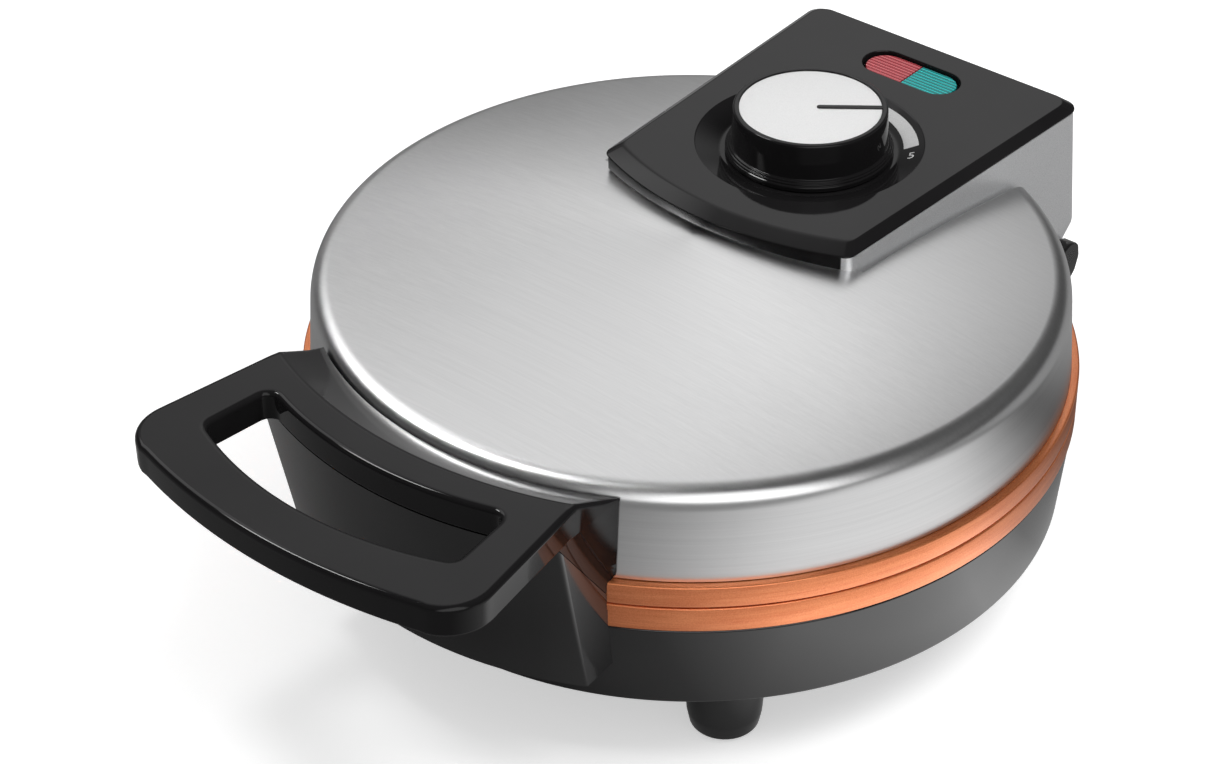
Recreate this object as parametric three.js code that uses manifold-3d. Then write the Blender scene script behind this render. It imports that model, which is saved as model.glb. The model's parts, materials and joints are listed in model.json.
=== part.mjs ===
// Round Belgian waffle maker with a hinged lid, in millimetres, +Z up, standing on z = 0.
// The handle is towards -Y and the hinge towards +Y, and the left and right halves match.
// Every level is built up from the table, and every plan place from the axis of the round body.

import * as THREE from 'three';
import { mergeVertices } from 'three/addons/utils/BufferGeometryUtils.js';
import Module from 'manifold-3d';

const wasm = await Module();
wasm.setup();

// Clearances and overruns
const seatGap = 0.3;
const runningGap = 0.35;
const cutOverrun = 3;
const weldDistance = 0.0005;

// Smoothness, as counts
const ringSides = 50;
const innerRingSides = 34;
const footSides = 14;
const knobSides = 28;
const rodSides = 12;
const screwSides = 6;
const tubeSides = 6;
const filletSteps = 3;
const bowSteps = 6;
const domeSteps = 2;
const shoulderSteps = 3;
const rampSteps = 5;
const cornerPasses = 12;

// Shares of the round body's radius and of a corner's radius
const rearShare = 0.86;
const cornerShare = 0.95;
const capsuleShare = 0.99;

// Heights of the stack, from the table up
const footHeight = 22;
const baseWallHeight = 28.7;
const lowerBandHeight = 8;
const seamGap = 0.4;
const upperBandHeight = 7;
const lidHeight = 35.55;

// Round body, worked inwards from the trim bands
const bandRadius = 116;
const bandProud = 0.5;
const baseDraft = 2.6;
const baseWall = 2.5;
const steelInset = 2.35;
const lidDraft = 1.95;
const steelThickness = 0.8;
const baseRimRadius = bandRadius - bandProud;
const baseFootRadius = baseRimRadius - baseDraft;
const steelFootRadius = bandRadius - steelInset;
const shoulderRadius = steelFootRadius - lidDraft;
const domeSphereRadius = 725;
const shoulderRound = 5.6;

// Feet, one on each diagonal
const footCount = 4;
const footInset = 16.9;
const footCircle = baseFootRadius - footInset;
const footTopRadius = 12;
const footEndRadius = 10.4;
const footEdgeRound = 1.6;
const padRadius = 8.4;
const padProud = 1.2;
const padDepth = 3;

// Bottom cover
const bottomThickness = 2.5;
const ventCount = 5;
const ventLength = 46;
const ventWidth = 3.2;
const ventPitch = 9;
const ventCentre = 42;
const coverScrewCount = 4;
const coverScrewInset = 5.9;
const coverScrewCircle = baseFootRadius - coverScrewInset;
const coverScrewAngle = 16;
const coverBossRadius = 4;
const coverBossHeight = 18;
const screwRadius = 1.5;
const screwHeadRadius = 3;
const screwHeadHeight = 1.6;

// Frames that hold the plates, one in the base and one in the lid
const frameClearance = 0.8;
const frameWidth = 16.2;
const frameOuterRadius = baseRimRadius - baseWall - frameClearance;
const frameInnerRadius = frameOuterRadius - frameWidth;
const frameFaceDepth = 0.6;
const framePlate = 2.3;
const frameSkirt = 2.4;
const frameSkirtDepth = 12;

// Waffle plates: a dish with tapered pegs in four quarters
const plateRimDepth = 0.4;
const plateFlangeLap = 2.5;
const plateNeckGap = 0.5;
const plateRimWidth = 4.5;
const plateRimLean = 2.5;
const plateBackLap = 3.5;
const plateFlangeRadius = frameInnerRadius + plateFlangeLap;
const plateNeckRadius = frameInnerRadius - plateNeckGap;
const plateRimInner = plateNeckRadius - plateRimWidth;
const plateFloorRadius = plateRimInner - plateRimLean;
const plateFlange = 2.8;
const plateBackRadius = plateFloorRadius + plateBackLap;
const plateFloorDepth = 13.5;
const plateThickness = 3;
const pegPitch = 16.5;
const pegBase = 11;
const pegTip = 8;
const pegTipDepth = 2.5;
const ridgeBase = 5;
const ridgeTip = 2.6;
const ridgeTipDepth = 1.1;
const plateScrewCount = 3;
const plateScrewCircle = 45;
const plateBossRadius = 4.5;

// Heating elements and reflector pans
const heaterInset = 17;
const heaterCircle = plateBackRadius - heaterInset;
const heaterTubeRadius = 3.25;
const heaterGapAngle = 15;
const heaterSteps = 24;
const heaterLegReach = 9.5;
const heaterLegHole = 5;
const panDepth = 8.6;
const panFloorInset = 6;
const panRimInset = 2.7;
const panFloorRadius = plateBackRadius - panFloorInset;
const panRimRadius = plateBackRadius - panRimInset;
const panFlange = 2;
const panThickness = 0.8;
const fuseRadius = 1.8;
const fuseLength = 15;
const terminalWidth = 34;
const terminalDepth = 14;
const terminalHeight = 7.4;
const terminalInset = 28.9;
const terminalOffset = baseFootRadius - terminalInset;

// Cord gland in the rear wall
const glandHeight = 12.5;
const glandBore = 3.6;
const glandBody = 5.6;
const glandFlange = 7.6;
const glandFlangeLength = 2;
const glandTail = 4;

// Hinge
const hingeBehindBand = 3;
const hingeOffset = bandRadius + hingeBehindBand;
const pinRadius = 2.4;
const eyeRadius = 7;
const earGap = 0.7;
const earThickness = 5;
const earRootDrop = 16;
const earShelf = 8;
const knuckleRadius = 6.3;
const knuckleInnerX = 38;
const knuckleWidth = 10;
const knuckleRootLap = 2;
const knuckleRoot = frameInnerRadius + knuckleRootLap;

// Handle loop of the lid
const handleLength = 61.1;
const frontReach = bandRadius + handleLength;
const handleDrop = 2.85;
const handleThickness = 9.4;
const handleFrontBow = 190;
const handleFrontCorner = 14;
const handleRootHalf = 53.8;
const handleRootInset = 18.8;
const handleRootY = bandRadius - handleRootInset;
const rootTaperShare = 0.084;
const handleKinkInset = 1;
const handleKinkY = bandRadius - handleKinkInset;
const armTaperShare = 0.158;
const windowGap = 20.8;
const windowRear = bandRadius + windowGap;
const windowRearBow = 125;
const handleArmWidth = 10.3;
const windowRearHalf = handleRootHalf - handleArmWidth;
const handleBarWidth = 15.5;
const windowFront = frontReach - handleBarWidth;
const windowFrontBow = 115;
const windowSpread = 2.5;
const windowFrontHalf = windowRearHalf + windowSpread;
const windowCorner = 3.5;
const rampLength = 10.7;
const rampEdge = bandRadius + rampLength;
const rampEdgeBow = 138;
const rampEnd = 0.8;
const rampOverhang = 12.2;
const rampSpread = handleRootHalf + rampOverhang;
const cheekThickness = 5.2;
const flangeThickness = 2.1;
const flangeDrop = 22;
const handleScrewInset = 23.8;
const handleScrewX = handleRootHalf - handleScrewInset;
const handleScrewDrop = 14;
const handleScrewHead = 1.8;

// Front apron of the base
const apronTopLength = 20.5;
const apronTopReach = bandRadius + apronTopLength;
const apronTopBow = 125;
const apronTopCorner = 12;
const apronLowLength = 10.6;
const apronLowReach = bandRadius + apronLowLength;
const apronLowBow = 115;
const apronLowCorner = 3;
const apronHeight = 55.1;
const apronWall = 2.4;
const partingLength = 7.6;
const partingFront = bandRadius + partingLength;
const partingSlopeShare = 1.407;

// Control housing, the wedge over the rear of the lid
const hingeCover = 13;
const rearReach = hingeOffset + hingeCover;
const housingLean = 2.5;
const housingSideLean = 1.7;
const housingCorner = 6;
const housingWall = 2.2;
const dialBeforeHinge = 61.5;
const dialOffset = hingeOffset - dialBeforeHinge;
const housingFrontInset = 33.5;
const housingFront = dialOffset - housingFrontInset;
const housingDrop = 46.2;
const housingChamfer = 5;
const deckDrop = 18;
const deckThickness = 2;
const coverCutGap = 0.9;
const housingBossX = 28;
const housingBossRadius = 4;
const housingBossCircle = frameOuterRadius - frameWidth / 2;

// Control panel
const panelRise = 5.7;
const panelBevelDrop = 2;
const panelEdge = 0.5;
const panelHalfAtDial = 44.86;
const panelTaperShare = 0.0445;
const panelSideBevel = 3.1;
const panelFrontBevel = 5.6;
const panelRearBevel = 2.5;
const panelFrontLength = 46.7;
const panelFrontEdge = dialOffset - panelFrontLength;
const panelTopBow = 100;
const panelFootBow = 107;
const panelFrontCorner = 8;
const panelRearCorner = 5;
const lipWall = 1.8;
const lipEndGap = 1;
const lipEnd = housingFront - lipEndGap;
const dishRadius = 35.3;
const dishFloorRadius = 27;
const dishDepth = 4.8;
const dishWall = 1.5;
const lensBeforeHinge = 8.5;
const lensOffset = hingeOffset - lensBeforeHinge;
const lensHalfLength = 17;
const lensRadius = 6.9;
const lensSunk = 1;
const lensThickness = 3.4;
const lensLip = 1.2;
const lensLipThickness = 1.4;
const lensDivider = 0.5;
const lampRadius = 2.2;
const lampLength = 12;
const lampSpread = 8.5;
const lampHolderWidth = 34;
const lampHolderDepth = 9;

// Dial knob and thermostat
const knobCollarRadius = 26.3;
const knobCollarHeight = 3;
const knobFlangeHeight = 1;
const knobSkirtRadius = 23.4;
const knobTopRadius = 22.9;
const knobRimRadius = 22.3;
const knobHeight = 15.65;
const knobRimRound = 0.7;
const discRadius = 21.65;
const discThickness = 1;
const discSunk = 0.9;
const pointerWidth = 1.2;
const pointerStart = 1.9;
const pointerAngle = 37.6;
const shaftRadius = 3;
const shaftInKnob = 11;
const shaftInBody = 6;
const thermostatRadius = 11;
const thermostatHeadroom = 1.6;
const bracketLength = 34;
const bracketWidth = 16;
const bracketThickness = 1.2;

// Levels worked out from the stack
const baseRimZ = footHeight + baseWallHeight;
const lowerBandZ = baseRimZ + seatGap;
const seamZ = lowerBandZ + lowerBandHeight + seamGap / 2;
const upperBandZ = seamZ + seamGap / 2;
const upperBandTopZ = upperBandZ + upperBandHeight;
const steelFootZ = upperBandTopZ + seatGap;
const shoulderZ = seamZ + lidHeight;
const domeSag = (radius) => domeSphereRadius - Math.sqrt(domeSphereRadius ** 2 - radius ** 2);
const domeTopZ = shoulderZ + domeSag(shoulderRadius);
const panelZ = domeTopZ + panelRise;
const panelFootZ = panelZ - panelBevelDrop;
const housingTopZ = panelFootZ - panelEdge - seatGap;
const housingBottomZ = panelFootZ - housingDrop;
const deckZ = panelZ - deckDrop;
const handleBottomZ = shoulderZ - handleDrop;
const handleTopZ = handleBottomZ + handleThickness;
const apronTopZ = handleBottomZ - seatGap;
const apronBottomZ = apronTopZ - apronHeight;
const panelFootRear = rearReach - housingLean;

// Half the panel's width at its foot, at a distance behind the axis.
const panelFootHalf = (y) => (
  panelHalfAtDial + panelSideBevel + panelTaperShare * (y - dialOffset)
);
const earInnerX = panelFootHalf(hingeOffset + eyeRadius) + housingSideLean + earGap;

// The steel wall's outer radius at a level.
const steelRadiusAt = (z) => {
  const share = (z - steelFootZ) / (shoulderZ - steelFootZ);
  return steelFootRadius + (shoulderRadius - steelFootRadius) * share;
};

// Geometry helpers

// A closed three.js geometry as a solid, whichever way its faces wind.
function solid(geometry) {
  const bare = geometry.clone();
  bare.deleteAttribute('normal');
  bare.deleteAttribute('uv');
  const welded = mergeVertices(bare, weldDistance);
  const place = welded.attributes.position.array;
  const index = welded.index.array;
  const triangles = [];
  let volume = 0;
  const [a, b, c] = [new THREE.Vector3(), new THREE.Vector3(), new THREE.Vector3()];
  for (let i = 0; i < index.length; i += 3) {
    const [p, q, r] = [index[i], index[i + 1], index[i + 2]];
    if (p === q || q === r || r === p) continue;
    triangles.push([p, q, r]);
    a.fromArray(place, p * 3);
    b.fromArray(place, q * 3);
    c.fromArray(place, r * 3);
    volume += a.dot(b.cross(c));
  }
  const ordered = volume < 0 ? triangles.map(([p, q, r]) => [p, r, q]) : triangles;
  return new wasm.Manifold(new wasm.Mesh({
    numProp: 3,
    vertProperties: new Float32Array(place),
    triVerts: new Uint32Array(ordered.flat()),
  }));
}

// Revolves a profile of [radius, z] points round the body's axis, or round one at (x, y).
function revolve(profile, sides = ringSides, x = 0, y = 0) {
  const points = profile.map(([radius, z]) => new THREE.Vector2(radius, z));
  const touchesAxis = profile[0][0] === 0;
  if (!touchesAxis) points.push(points[0].clone());
  const geometry = new THREE.LatheGeometry(points, sides);
  return solid(geometry.rotateX(Math.PI / 2).translate(x, y, 0));
}

// A disc or plug from one level to another, round an upright axis at (x, y).
function plug(radius, zLow, zHigh, x = 0, y = 0, sides = ringSides) {
  return revolve([[0, zLow], [radius, zLow], [radius, zHigh], [0, zHigh]], sides, x, y);
}

// A rod between two points.
function rod(radius, from, to, sides = rodSides) {
  const along = to.clone().sub(from);
  const geometry = new THREE.CylinderGeometry(radius, radius, along.length(), sides);
  const upright = new THREE.Vector3(0, 1, 0);
  geometry.applyQuaternion(new THREE.Quaternion().setFromUnitVectors(upright, along.normalize()));
  const middle = from.clone().add(to).multiplyScalar(0.5);
  return solid(geometry.translate(middle.x, middle.y, middle.z));
}

// A block between two corners.
function block(low, high) {
  const geometry = new THREE.BoxGeometry(high[0] - low[0], high[1] - low[1], high[2] - low[2]);
  const middle = low.map((value, i) => (value + high[i]) / 2);
  return solid(geometry.translate(...middle));
}

// An upright prism over an outline of Vector2 points.
function prism(outline, zLow, zHigh) {
  const geometry = new THREE.ExtrudeGeometry(new THREE.Shape(outline), {
    depth: zHigh - zLow,
    bevelEnabled: false,
  });
  return solid(geometry.translate(0, 0, zLow));
}

// A prism along X over an outline of [y, z] points.
function sidePrism(outline, xLow, xHigh) {
  const shape = new THREE.Shape(outline.map(([y, z]) => new THREE.Vector2(y, z)));
  const geometry = new THREE.ExtrudeGeometry(shape, { depth: xHigh - xLow, bevelEnabled: false });
  const turn = new THREE.Matrix4().set(0, 0, 1, xLow, 1, 0, 0, 0, 0, 1, 0, 0, 0, 0, 0, 1);
  return solid(geometry.applyMatrix4(turn));
}

// The triangles that close a flat loop of Vector3 points, wound the way the loop runs.
function capTriangles(loop) {
  const normal = new THREE.Vector3();
  loop.forEach((point, i) => {
    const next = loop[(i + 1) % loop.length];
    normal.x += (point.y - next.y) * (point.z + next.z);
    normal.y += (point.z - next.z) * (point.x + next.x);
    normal.z += (point.x - next.x) * (point.y + next.y);
  });
  const [nx, ny, nz] = normal.toArray().map(Math.abs);
  const flat = loop.map((point) => {
    if (nz >= nx && nz >= ny) return new THREE.Vector2(point.x, point.y);
    if (ny >= nx) return new THREE.Vector2(point.z, point.x);
    return new THREE.Vector2(point.y, point.z);
  });
  const loopArea = THREE.ShapeUtils.area(flat);
  return THREE.ShapeUtils.triangulateShape(flat, []).map(([p, q, r]) => {
    const area = THREE.ShapeUtils.area([flat[p], flat[q], flat[r]]);
    return area * loopArea < 0 ? [p, r, q] : [p, q, r];
  });
}

// A solid through flat loops of Vector3 points, each loop with as many points as the last.
function loft(loops) {
  const count = loops[0].length;
  const index = [];
  loops.slice(1).forEach((_, level) => {
    for (let i = 0; i < count; i += 1) {
      const next = (i + 1) % count;
      const [a, b] = [level * count + i, level * count + next];
      index.push(a, b, b + count, a, b + count, a + count);
    }
  });
  const end = (loops.length - 1) * count;
  capTriangles(loops[0]).forEach(([p, q, r]) => index.push(p, r, q));
  capTriangles(loops[loops.length - 1]).forEach((corner) => {
    index.push(...corner.map((i) => i + end));
  });
  const geometry = new THREE.BufferGeometry();
  const places = loops.flat().flatMap((point) => point.toArray());
  geometry.setAttribute('position', new THREE.Float32BufferAttribute(places, 3));
  geometry.setIndex(index);
  return solid(geometry);
}

// An outline of Vector2 points through [x, y, radius] corners, each rounded to its radius.
function rounded(corners) {
  return corners.flatMap(([x, y, radius = 0], i) => {
    const here = new THREE.Vector2(x, y);
    if (radius === 0) return [here];
    const [beforeX, beforeY] = corners[(i + corners.length - 1) % corners.length];
    const [afterX, afterY] = corners[(i + 1) % corners.length];
    const before = new THREE.Vector2(beforeX, beforeY).sub(here).normalize();
    const after = new THREE.Vector2(afterX, afterY).sub(here).normalize();
    const half = Math.acos(before.dot(after)) / 2;
    const reach = radius / Math.tan(half);
    const inward = before.clone().add(after).normalize();
    const middle = here.clone().addScaledVector(inward, radius / Math.sin(half));
    const start = here.clone().addScaledVector(before, reach).sub(middle);
    const end = here.clone().addScaledVector(after, reach).sub(middle);
    const sweep = Math.atan2(start.cross(end), start.dot(end));
    return Array.from({ length: filletSteps + 1 }, (_, step) => {
      const turned = start.clone().rotateAround(new THREE.Vector2(), (sweep * step) / filletSteps);
      return turned.add(middle);
    });
  });
}

// Points of a shallow arc that bows towards -Y, from -half to half across.
function bow(reach, radius, half) {
  return Array.from({ length: bowSteps + 1 }, (_, i) => {
    const x = half * ((2 * i) / bowSteps - 1);
    return [x, radius - reach - Math.sqrt(radius ** 2 - x ** 2)];
  });
}

// Where a bow meets the side line x = sideAt(y), on the +X side.
function bowCorner(reach, radius, sideAt) {
  let y = -reach;
  for (let pass = 0; pass < cornerPasses; pass += 1) {
    y = radius - reach - Math.sqrt(radius ** 2 - sideAt(y) ** 2);
  }
  return [sideAt(y), y];
}

// An outline with a bowed front, leaning sides and a straight rear.
function bowedOutline({ reach, radius, sideAt, frontCorner, rearY, rearCorner }) {
  const [x, y] = bowCorner(reach, radius, sideAt);
  const rearX = sideAt(rearY);
  return rounded([
    [-x, y, frontCorner],
    ...bow(reach, radius, x - frontCorner * cornerShare),
    [x, y, frontCorner],
    [rearX, rearY, rearCorner],
    [-rearX, rearY, rearCorner],
  ]);
}

const lift = (outline, z) => outline.map((point) => new THREE.Vector3(point.x, point.y, z));

// A block that tapers between two levels, square in plan.
function taper(x, y, lowHalf, zLow, highHalf, zHigh) {
  const square = (half, z) => [[-half, -half], [half, -half], [half, half], [-half, half]]
    .map(([dx, dy]) => new THREE.Vector3(x + dx, y + dy, z));
  return loft([square(lowHalf, zLow), square(highHalf, zHigh)]);
}

const onCircle = (radius, degrees) => {
  const angle = THREE.MathUtils.degToRad(degrees);
  return [radius * Math.cos(angle), radius * Math.sin(angle)];
};
const joinAll = (shapes) => shapes.reduce((whole, shape) => whole.add(shape));

// Colours, roughness and metalness, as the photograph shows them
const finish = (color, roughness, metalness) => (
  new THREE.MeshStandardMaterial({ color, roughness, metalness })
);
const blackPlastic = finish(0x141416, 0.35, 0);
const glossBlack = finish(0x0c0c0d, 0.12, 0);
const rubber = finish(0x1a1a1a, 0.85, 0);
const brushedSteel = finish(0xb9bbbe, 0.35, 1);
const copper = finish(0xc0663c, 0.32, 1);
const silverPlastic = finish(0xb4b7bb, 0.4, 0.6);
const castPlate = finish(0x2b2b2d, 0.55, 0.3);
const brightSteel = finish(0xd9dadc, 0.25, 1);
const elementSteel = finish(0x6f6a63, 0.5, 0.9);
const panSteel = finish(0xc9cbce, 0.4, 1);
const silverDisc = finish(0xe2e2e2, 0.4, 0.5);
const redLens = finish(0xbe3c46, 0.25, 0);
const tealLens = finish(0x00a096, 0.25, 0);
const clearGlass = finish(0xe8e2d6, 0.1, 0);
const ceramic = finish(0xe6e0d4, 0.7, 0);
const paleNylon = finish(0xd8d4c8, 0.6, 0);

const waffleMaker = new THREE.Group();
waffleMaker.position.y = (frontReach - rearReach) / 2;

function part(name, shape, material) {
  const { vertProperties, triVerts } = shape.getMesh();
  const geometry = new THREE.BufferGeometry();
  geometry.setAttribute('position', new THREE.Float32BufferAttribute(vertProperties, 3));
  geometry.setIndex([...triVerts]);
  const flat = geometry.toNonIndexed();
  flat.computeVertexNormals();
  const mesh = new THREE.Mesh(flat, material);
  mesh.name = name;
  waffleMaker.add(mesh);
}

// Envelopes that neighbours are cut by

// Dome height at a radius, and the lid's outer profile from the axis to the steel's lower edge.
const domeZ = (radius) => domeTopZ - domeSag(radius);
function lidProfile(inset) {
  const domeEdge = shoulderRadius - shoulderRound;
  const start = new THREE.Vector2(domeEdge, domeZ(domeEdge));
  const corner = new THREE.Vector2(shoulderRadius, shoulderZ);
  const wallZ = shoulderZ - shoulderRound;
  const end = new THREE.Vector2(steelRadiusAt(wallZ), wallZ);
  const curve = new THREE.QuadraticBezierCurve(start, corner, end);
  const dome = Array.from({ length: domeSteps }, (_, i) => {
    const radius = (domeEdge * i) / domeSteps;
    return [radius, domeZ(radius) - inset];
  });
  const shoulder = curve.getPoints(shoulderSteps).map((point, i) => {
    const share = i / shoulderSteps;
    return [point.x - inset * share, point.y - inset * (1 - share)];
  });
  return [...dome, ...shoulder, [steelFootRadius - inset, steelFootZ]];
}

// All of the lid's round body, with its band, grown by a clearance.
function lidEnvelope(gap) {
  return revolve([
    ...lidProfile(-gap),
    [steelFootRadius + gap, upperBandTopZ + gap],
    [bandRadius + gap, upperBandTopZ + gap],
    [bandRadius + gap, lowerBandZ - gap],
    [0, lowerBandZ - gap],
  ]);
}

// The handle's side line, half the width at a distance in front of the axis.
const handleSide = (y) => {
  const front = Math.max(-y - handleKinkY, 0);
  return handleRootHalf + (-y - front - handleRootY) * rootTaperShare + front * armTaperShare;
};

// The apron's outer form, its wall drawn in by an inset.
function apronForm(inset, zLow, zHigh) {
  const side = (y) => handleRootHalf + (-y - handleRootY) * rootTaperShare - inset;
  const rearY = -shoulderRadius * rearShare;
  const top = bowedOutline({
    reach: apronTopReach - inset, radius: apronTopBow - inset, sideAt: side,
    frontCorner: apronTopCorner, rearY, rearCorner: 0,
  });
  const low = bowedOutline({
    reach: apronLowReach - inset, radius: apronLowBow - inset, sideAt: side,
    frontCorner: apronLowCorner, rearY, rearCorner: 0,
  });
  const at = (z) => {
    const share = (z - apronBottomZ) / (apronTopZ - apronBottomZ);
    return low.map((point, i) => new THREE.Vector3(
      THREE.MathUtils.lerp(point.x, top[i].x, share),
      THREE.MathUtils.lerp(point.y, top[i].y, share),
      z,
    ));
  };
  return loft([at(zLow), at(zHigh)]);
}

// Everything above the slanted parting line between the apron and the lid's cheeks.
function partingPrism(drop) {
  const run = partingFront - rearShare * shoulderRadius;
  return sidePrism([
    [-partingFront, handleBottomZ - drop],
    [-partingFront + run, handleBottomZ - drop - run * partingSlopeShare],
    [-partingFront + run, handleTopZ],
    [-partingFront, handleTopZ],
  ], -bandRadius, bandRadius);
}

// The control housing's wedge between two levels, grown by a clearance or shrunk by a wall.
function wedge(grow, zLow, zHigh) {
  const at = (z) => {
    const share = (panelFootZ - z) / (housingDrop - housingChamfer);
    const rearY = panelFootRear + housingLean * share + grow;
    const half = (y) => panelFootHalf(y) + housingSideLean * share + grow;
    const frontY = housingFront - grow;
    return lift(rounded([
      [-half(frontY), frontY],
      [half(frontY), frontY],
      [half(rearY), rearY, housingCorner + grow],
      [-half(rearY), rearY, housingCorner + grow],
    ]), z);
  };
  return loft([at(zLow), at(zHigh)]);
}

// Base housing: the bowl, the hollow front apron, the hinge ears and the cover's screw bosses
function baseHousing() {
  const bowl = revolve([
    [0, footHeight], [baseFootRadius, footHeight], [baseRimRadius, baseRimZ], [0, baseRimZ],
  ]);
  const backWall = plug(bandRadius + seatGap + apronWall, 0, handleTopZ);
  const hollow = apronForm(apronWall, apronBottomZ - cutOverrun, apronTopZ - apronWall)
    .subtract(backWall)
    .subtract(partingPrism(seatGap + apronWall));
  const apron = apronForm(0, apronBottomZ, apronTopZ)
    .subtract(hollow)
    .subtract(partingPrism(seatGap));
  const inside = revolve([
    [0, footHeight - cutOverrun], [baseFootRadius - baseWall, footHeight - cutOverrun],
    [baseFootRadius - baseWall, footHeight], [baseRimRadius - baseWall, baseRimZ],
    [bandRadius + seatGap, baseRimZ], [bandRadius + seatGap, handleTopZ], [0, handleTopZ],
  ]);
  const earRoot = hingeOffset - eyeRadius;
  const bowlY = Math.sqrt((baseFootRadius - baseWall) ** 2 - (earInnerX + earThickness) ** 2);
  const ears = [-1, 1].map((side) => {
    const [near, far] = [side * earInnerX, side * (earInnerX + earThickness)];
    const [xLow, xHigh] = [Math.min(near, far), Math.max(near, far)];
    const gusset = sidePrism([
      [earRoot, seamZ], [earRoot, baseRimZ], [bowlY, baseRimZ],
      [bowlY, baseRimZ - earRootDrop],
      [earRoot - earShelf, baseRimZ - earRootDrop],
      [hingeOffset + eyeRadius * Math.SQRT1_2, seamZ - eyeRadius * Math.SQRT1_2],
      [hingeOffset, seamZ],
    ], xLow, xHigh);
    const [eyeLow, eyeHigh] = [xLow, xHigh].map((x) => new THREE.Vector3(x, hingeOffset, seamZ));
    const eye = rod(eyeRadius, eyeLow, eyeHigh);
    return gusset.add(eye);
  });
  const shell = joinAll([bowl, apron, ...ears]).subtract(inside);
  const bosses = coverScrewPlaces().map(([x, y]) => plug(
    coverBossRadius, footHeight + bottomThickness + 2 * seatGap,
    footHeight + coverBossHeight, x, y, screwSides));
  const holes = coverScrewPlaces().map(([x, y]) => plug(
    screwRadius + runningGap, footHeight, footHeight + coverBossHeight - seatGap * 2, x, y, screwSides));
  return joinAll([shell, ...bosses]).subtract(joinAll(holes)).subtract(hingeBore());
}

function coverScrewPlaces() {
  return Array.from({ length: coverScrewCount }, (_, i) => {
    const quarter = i < 2 ? 0 : 180;
    const side = i % 2 ? 1 : -1;
    return onCircle(coverScrewCircle, quarter + side * coverScrewAngle);
  });
}

function pinRod(radius, overrun) {
  const end = earInnerX + earThickness + overrun;
  const [left, right] = [-end, end].map((x) => new THREE.Vector3(x, hingeOffset, seamZ));
  return rod(radius, left, right);
}
const hingeBore = () => pinRod(pinRadius + runningGap, cutOverrun);

// Feet with their pads
function foot(x, y) {
  const low = padProud;
  return revolve([
    [0, low + padDepth], [padRadius + seatGap, low + padDepth], [padRadius + seatGap, low],
    [footEndRadius - footEdgeRound, low], [footEndRadius, low + footEdgeRound],
    [footTopRadius, footHeight], [0, footHeight],
  ], footSides, x, y);
}
const footPad = (x, y) => plug(padRadius, 0, padProud + padDepth - seatGap, x, y, footSides);

// Bottom cover with its vent slots and screw holes
const coverZ = footHeight + seatGap;
function bottomCover() {
  const top = coverZ + bottomThickness;
  const disc = plug(baseFootRadius - baseWall - seatGap, coverZ, top);
  const slots = [-1, 1].flatMap((side) => Array.from({ length: ventCount }, (_, i) => {
    const y = side * ventCentre + (i - (ventCount - 1) / 2) * ventPitch;
    return block(
      [-ventLength / 2, y - ventWidth / 2, coverZ - cutOverrun],
      [ventLength / 2, y + ventWidth / 2, top + cutOverrun],
    );
  }));
  const holes = coverScrewPlaces().map(([x, y]) => plug(
    screwRadius + runningGap, coverZ - cutOverrun, top + cutOverrun, x, y, screwSides));
  return disc.subtract(joinAll(slots)).subtract(joinAll(holes));
}

// A round-headed screw that goes up or down from its head's seat.
function screw(x, y, seatZ, length, way) {
  const head = seatZ - way * screwHeadHeight;
  return revolve([
    [0, head], [screwHeadRadius, head], [screwHeadRadius, seatZ],
    [screwRadius, seatZ], [screwRadius, seatZ + way * length], [0, seatZ + way * length],
  ], screwSides, x, y);
}

// Trim bands: a plain ring each, the lid's one open at the rear for the hinge knuckles
function trimBand(zLow, zHigh) {
  return revolve([
    [frameOuterRadius + seatGap, zLow], [bandRadius, zLow],
    [bandRadius, zHigh], [frameOuterRadius + seatGap, zHigh],
  ]);
}
function lidBand() {
  const half = knuckleInnerX + knuckleWidth + seatGap;
  const opening = block([-half, 0, upperBandZ - cutOverrun], [half, bandRadius + cutOverrun, steelFootZ]);
  return trimBand(upperBandZ, upperBandTopZ).subtract(opening);
}

// Points at a radius and a depth from the seam: side is -1 in the base and 1 in the lid.
const fromSeam = (profile, side) => profile.map(([radius, depth]) => [radius, seamZ + side * depth]);

// Frame ring that carries a plate by its flange
function frameRing(side) {
  const under = frameFaceDepth + framePlate;
  return revolve(fromSeam([
    [frameInnerRadius, frameFaceDepth], [frameOuterRadius, frameFaceDepth],
    [frameOuterRadius, frameSkirtDepth], [frameOuterRadius - frameSkirt, frameSkirtDepth],
    [frameOuterRadius - frameSkirt, under], [frameInnerRadius, under],
  ], side), innerRingSides);
}
function lidFrame() {
  const low = seamZ + frameFaceDepth;
  const knuckles = [-1, 1].map((side) => {
    const ends = [side * knuckleInnerX, side * (knuckleInnerX + knuckleWidth)].sort((a, b) => a - b);
    const arm = block([ends[0], knuckleRoot, low], [ends[1], hingeOffset, seamZ + knuckleRadius]);
    const eye = rod(knuckleRadius,
      new THREE.Vector3(ends[0], hingeOffset, seamZ),
      new THREE.Vector3(ends[1], hingeOffset, seamZ));
    return arm.add(eye);
  });
  const plateRoom = plug(
    plateFlangeRadius + seatGap, seamZ + frameFaceDepth + framePlate, handleTopZ);
  const arms = joinAll(knuckles).subtract(plateRoom).subtract(hingeBore());
  return frameRing(1).add(arms);
}

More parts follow.
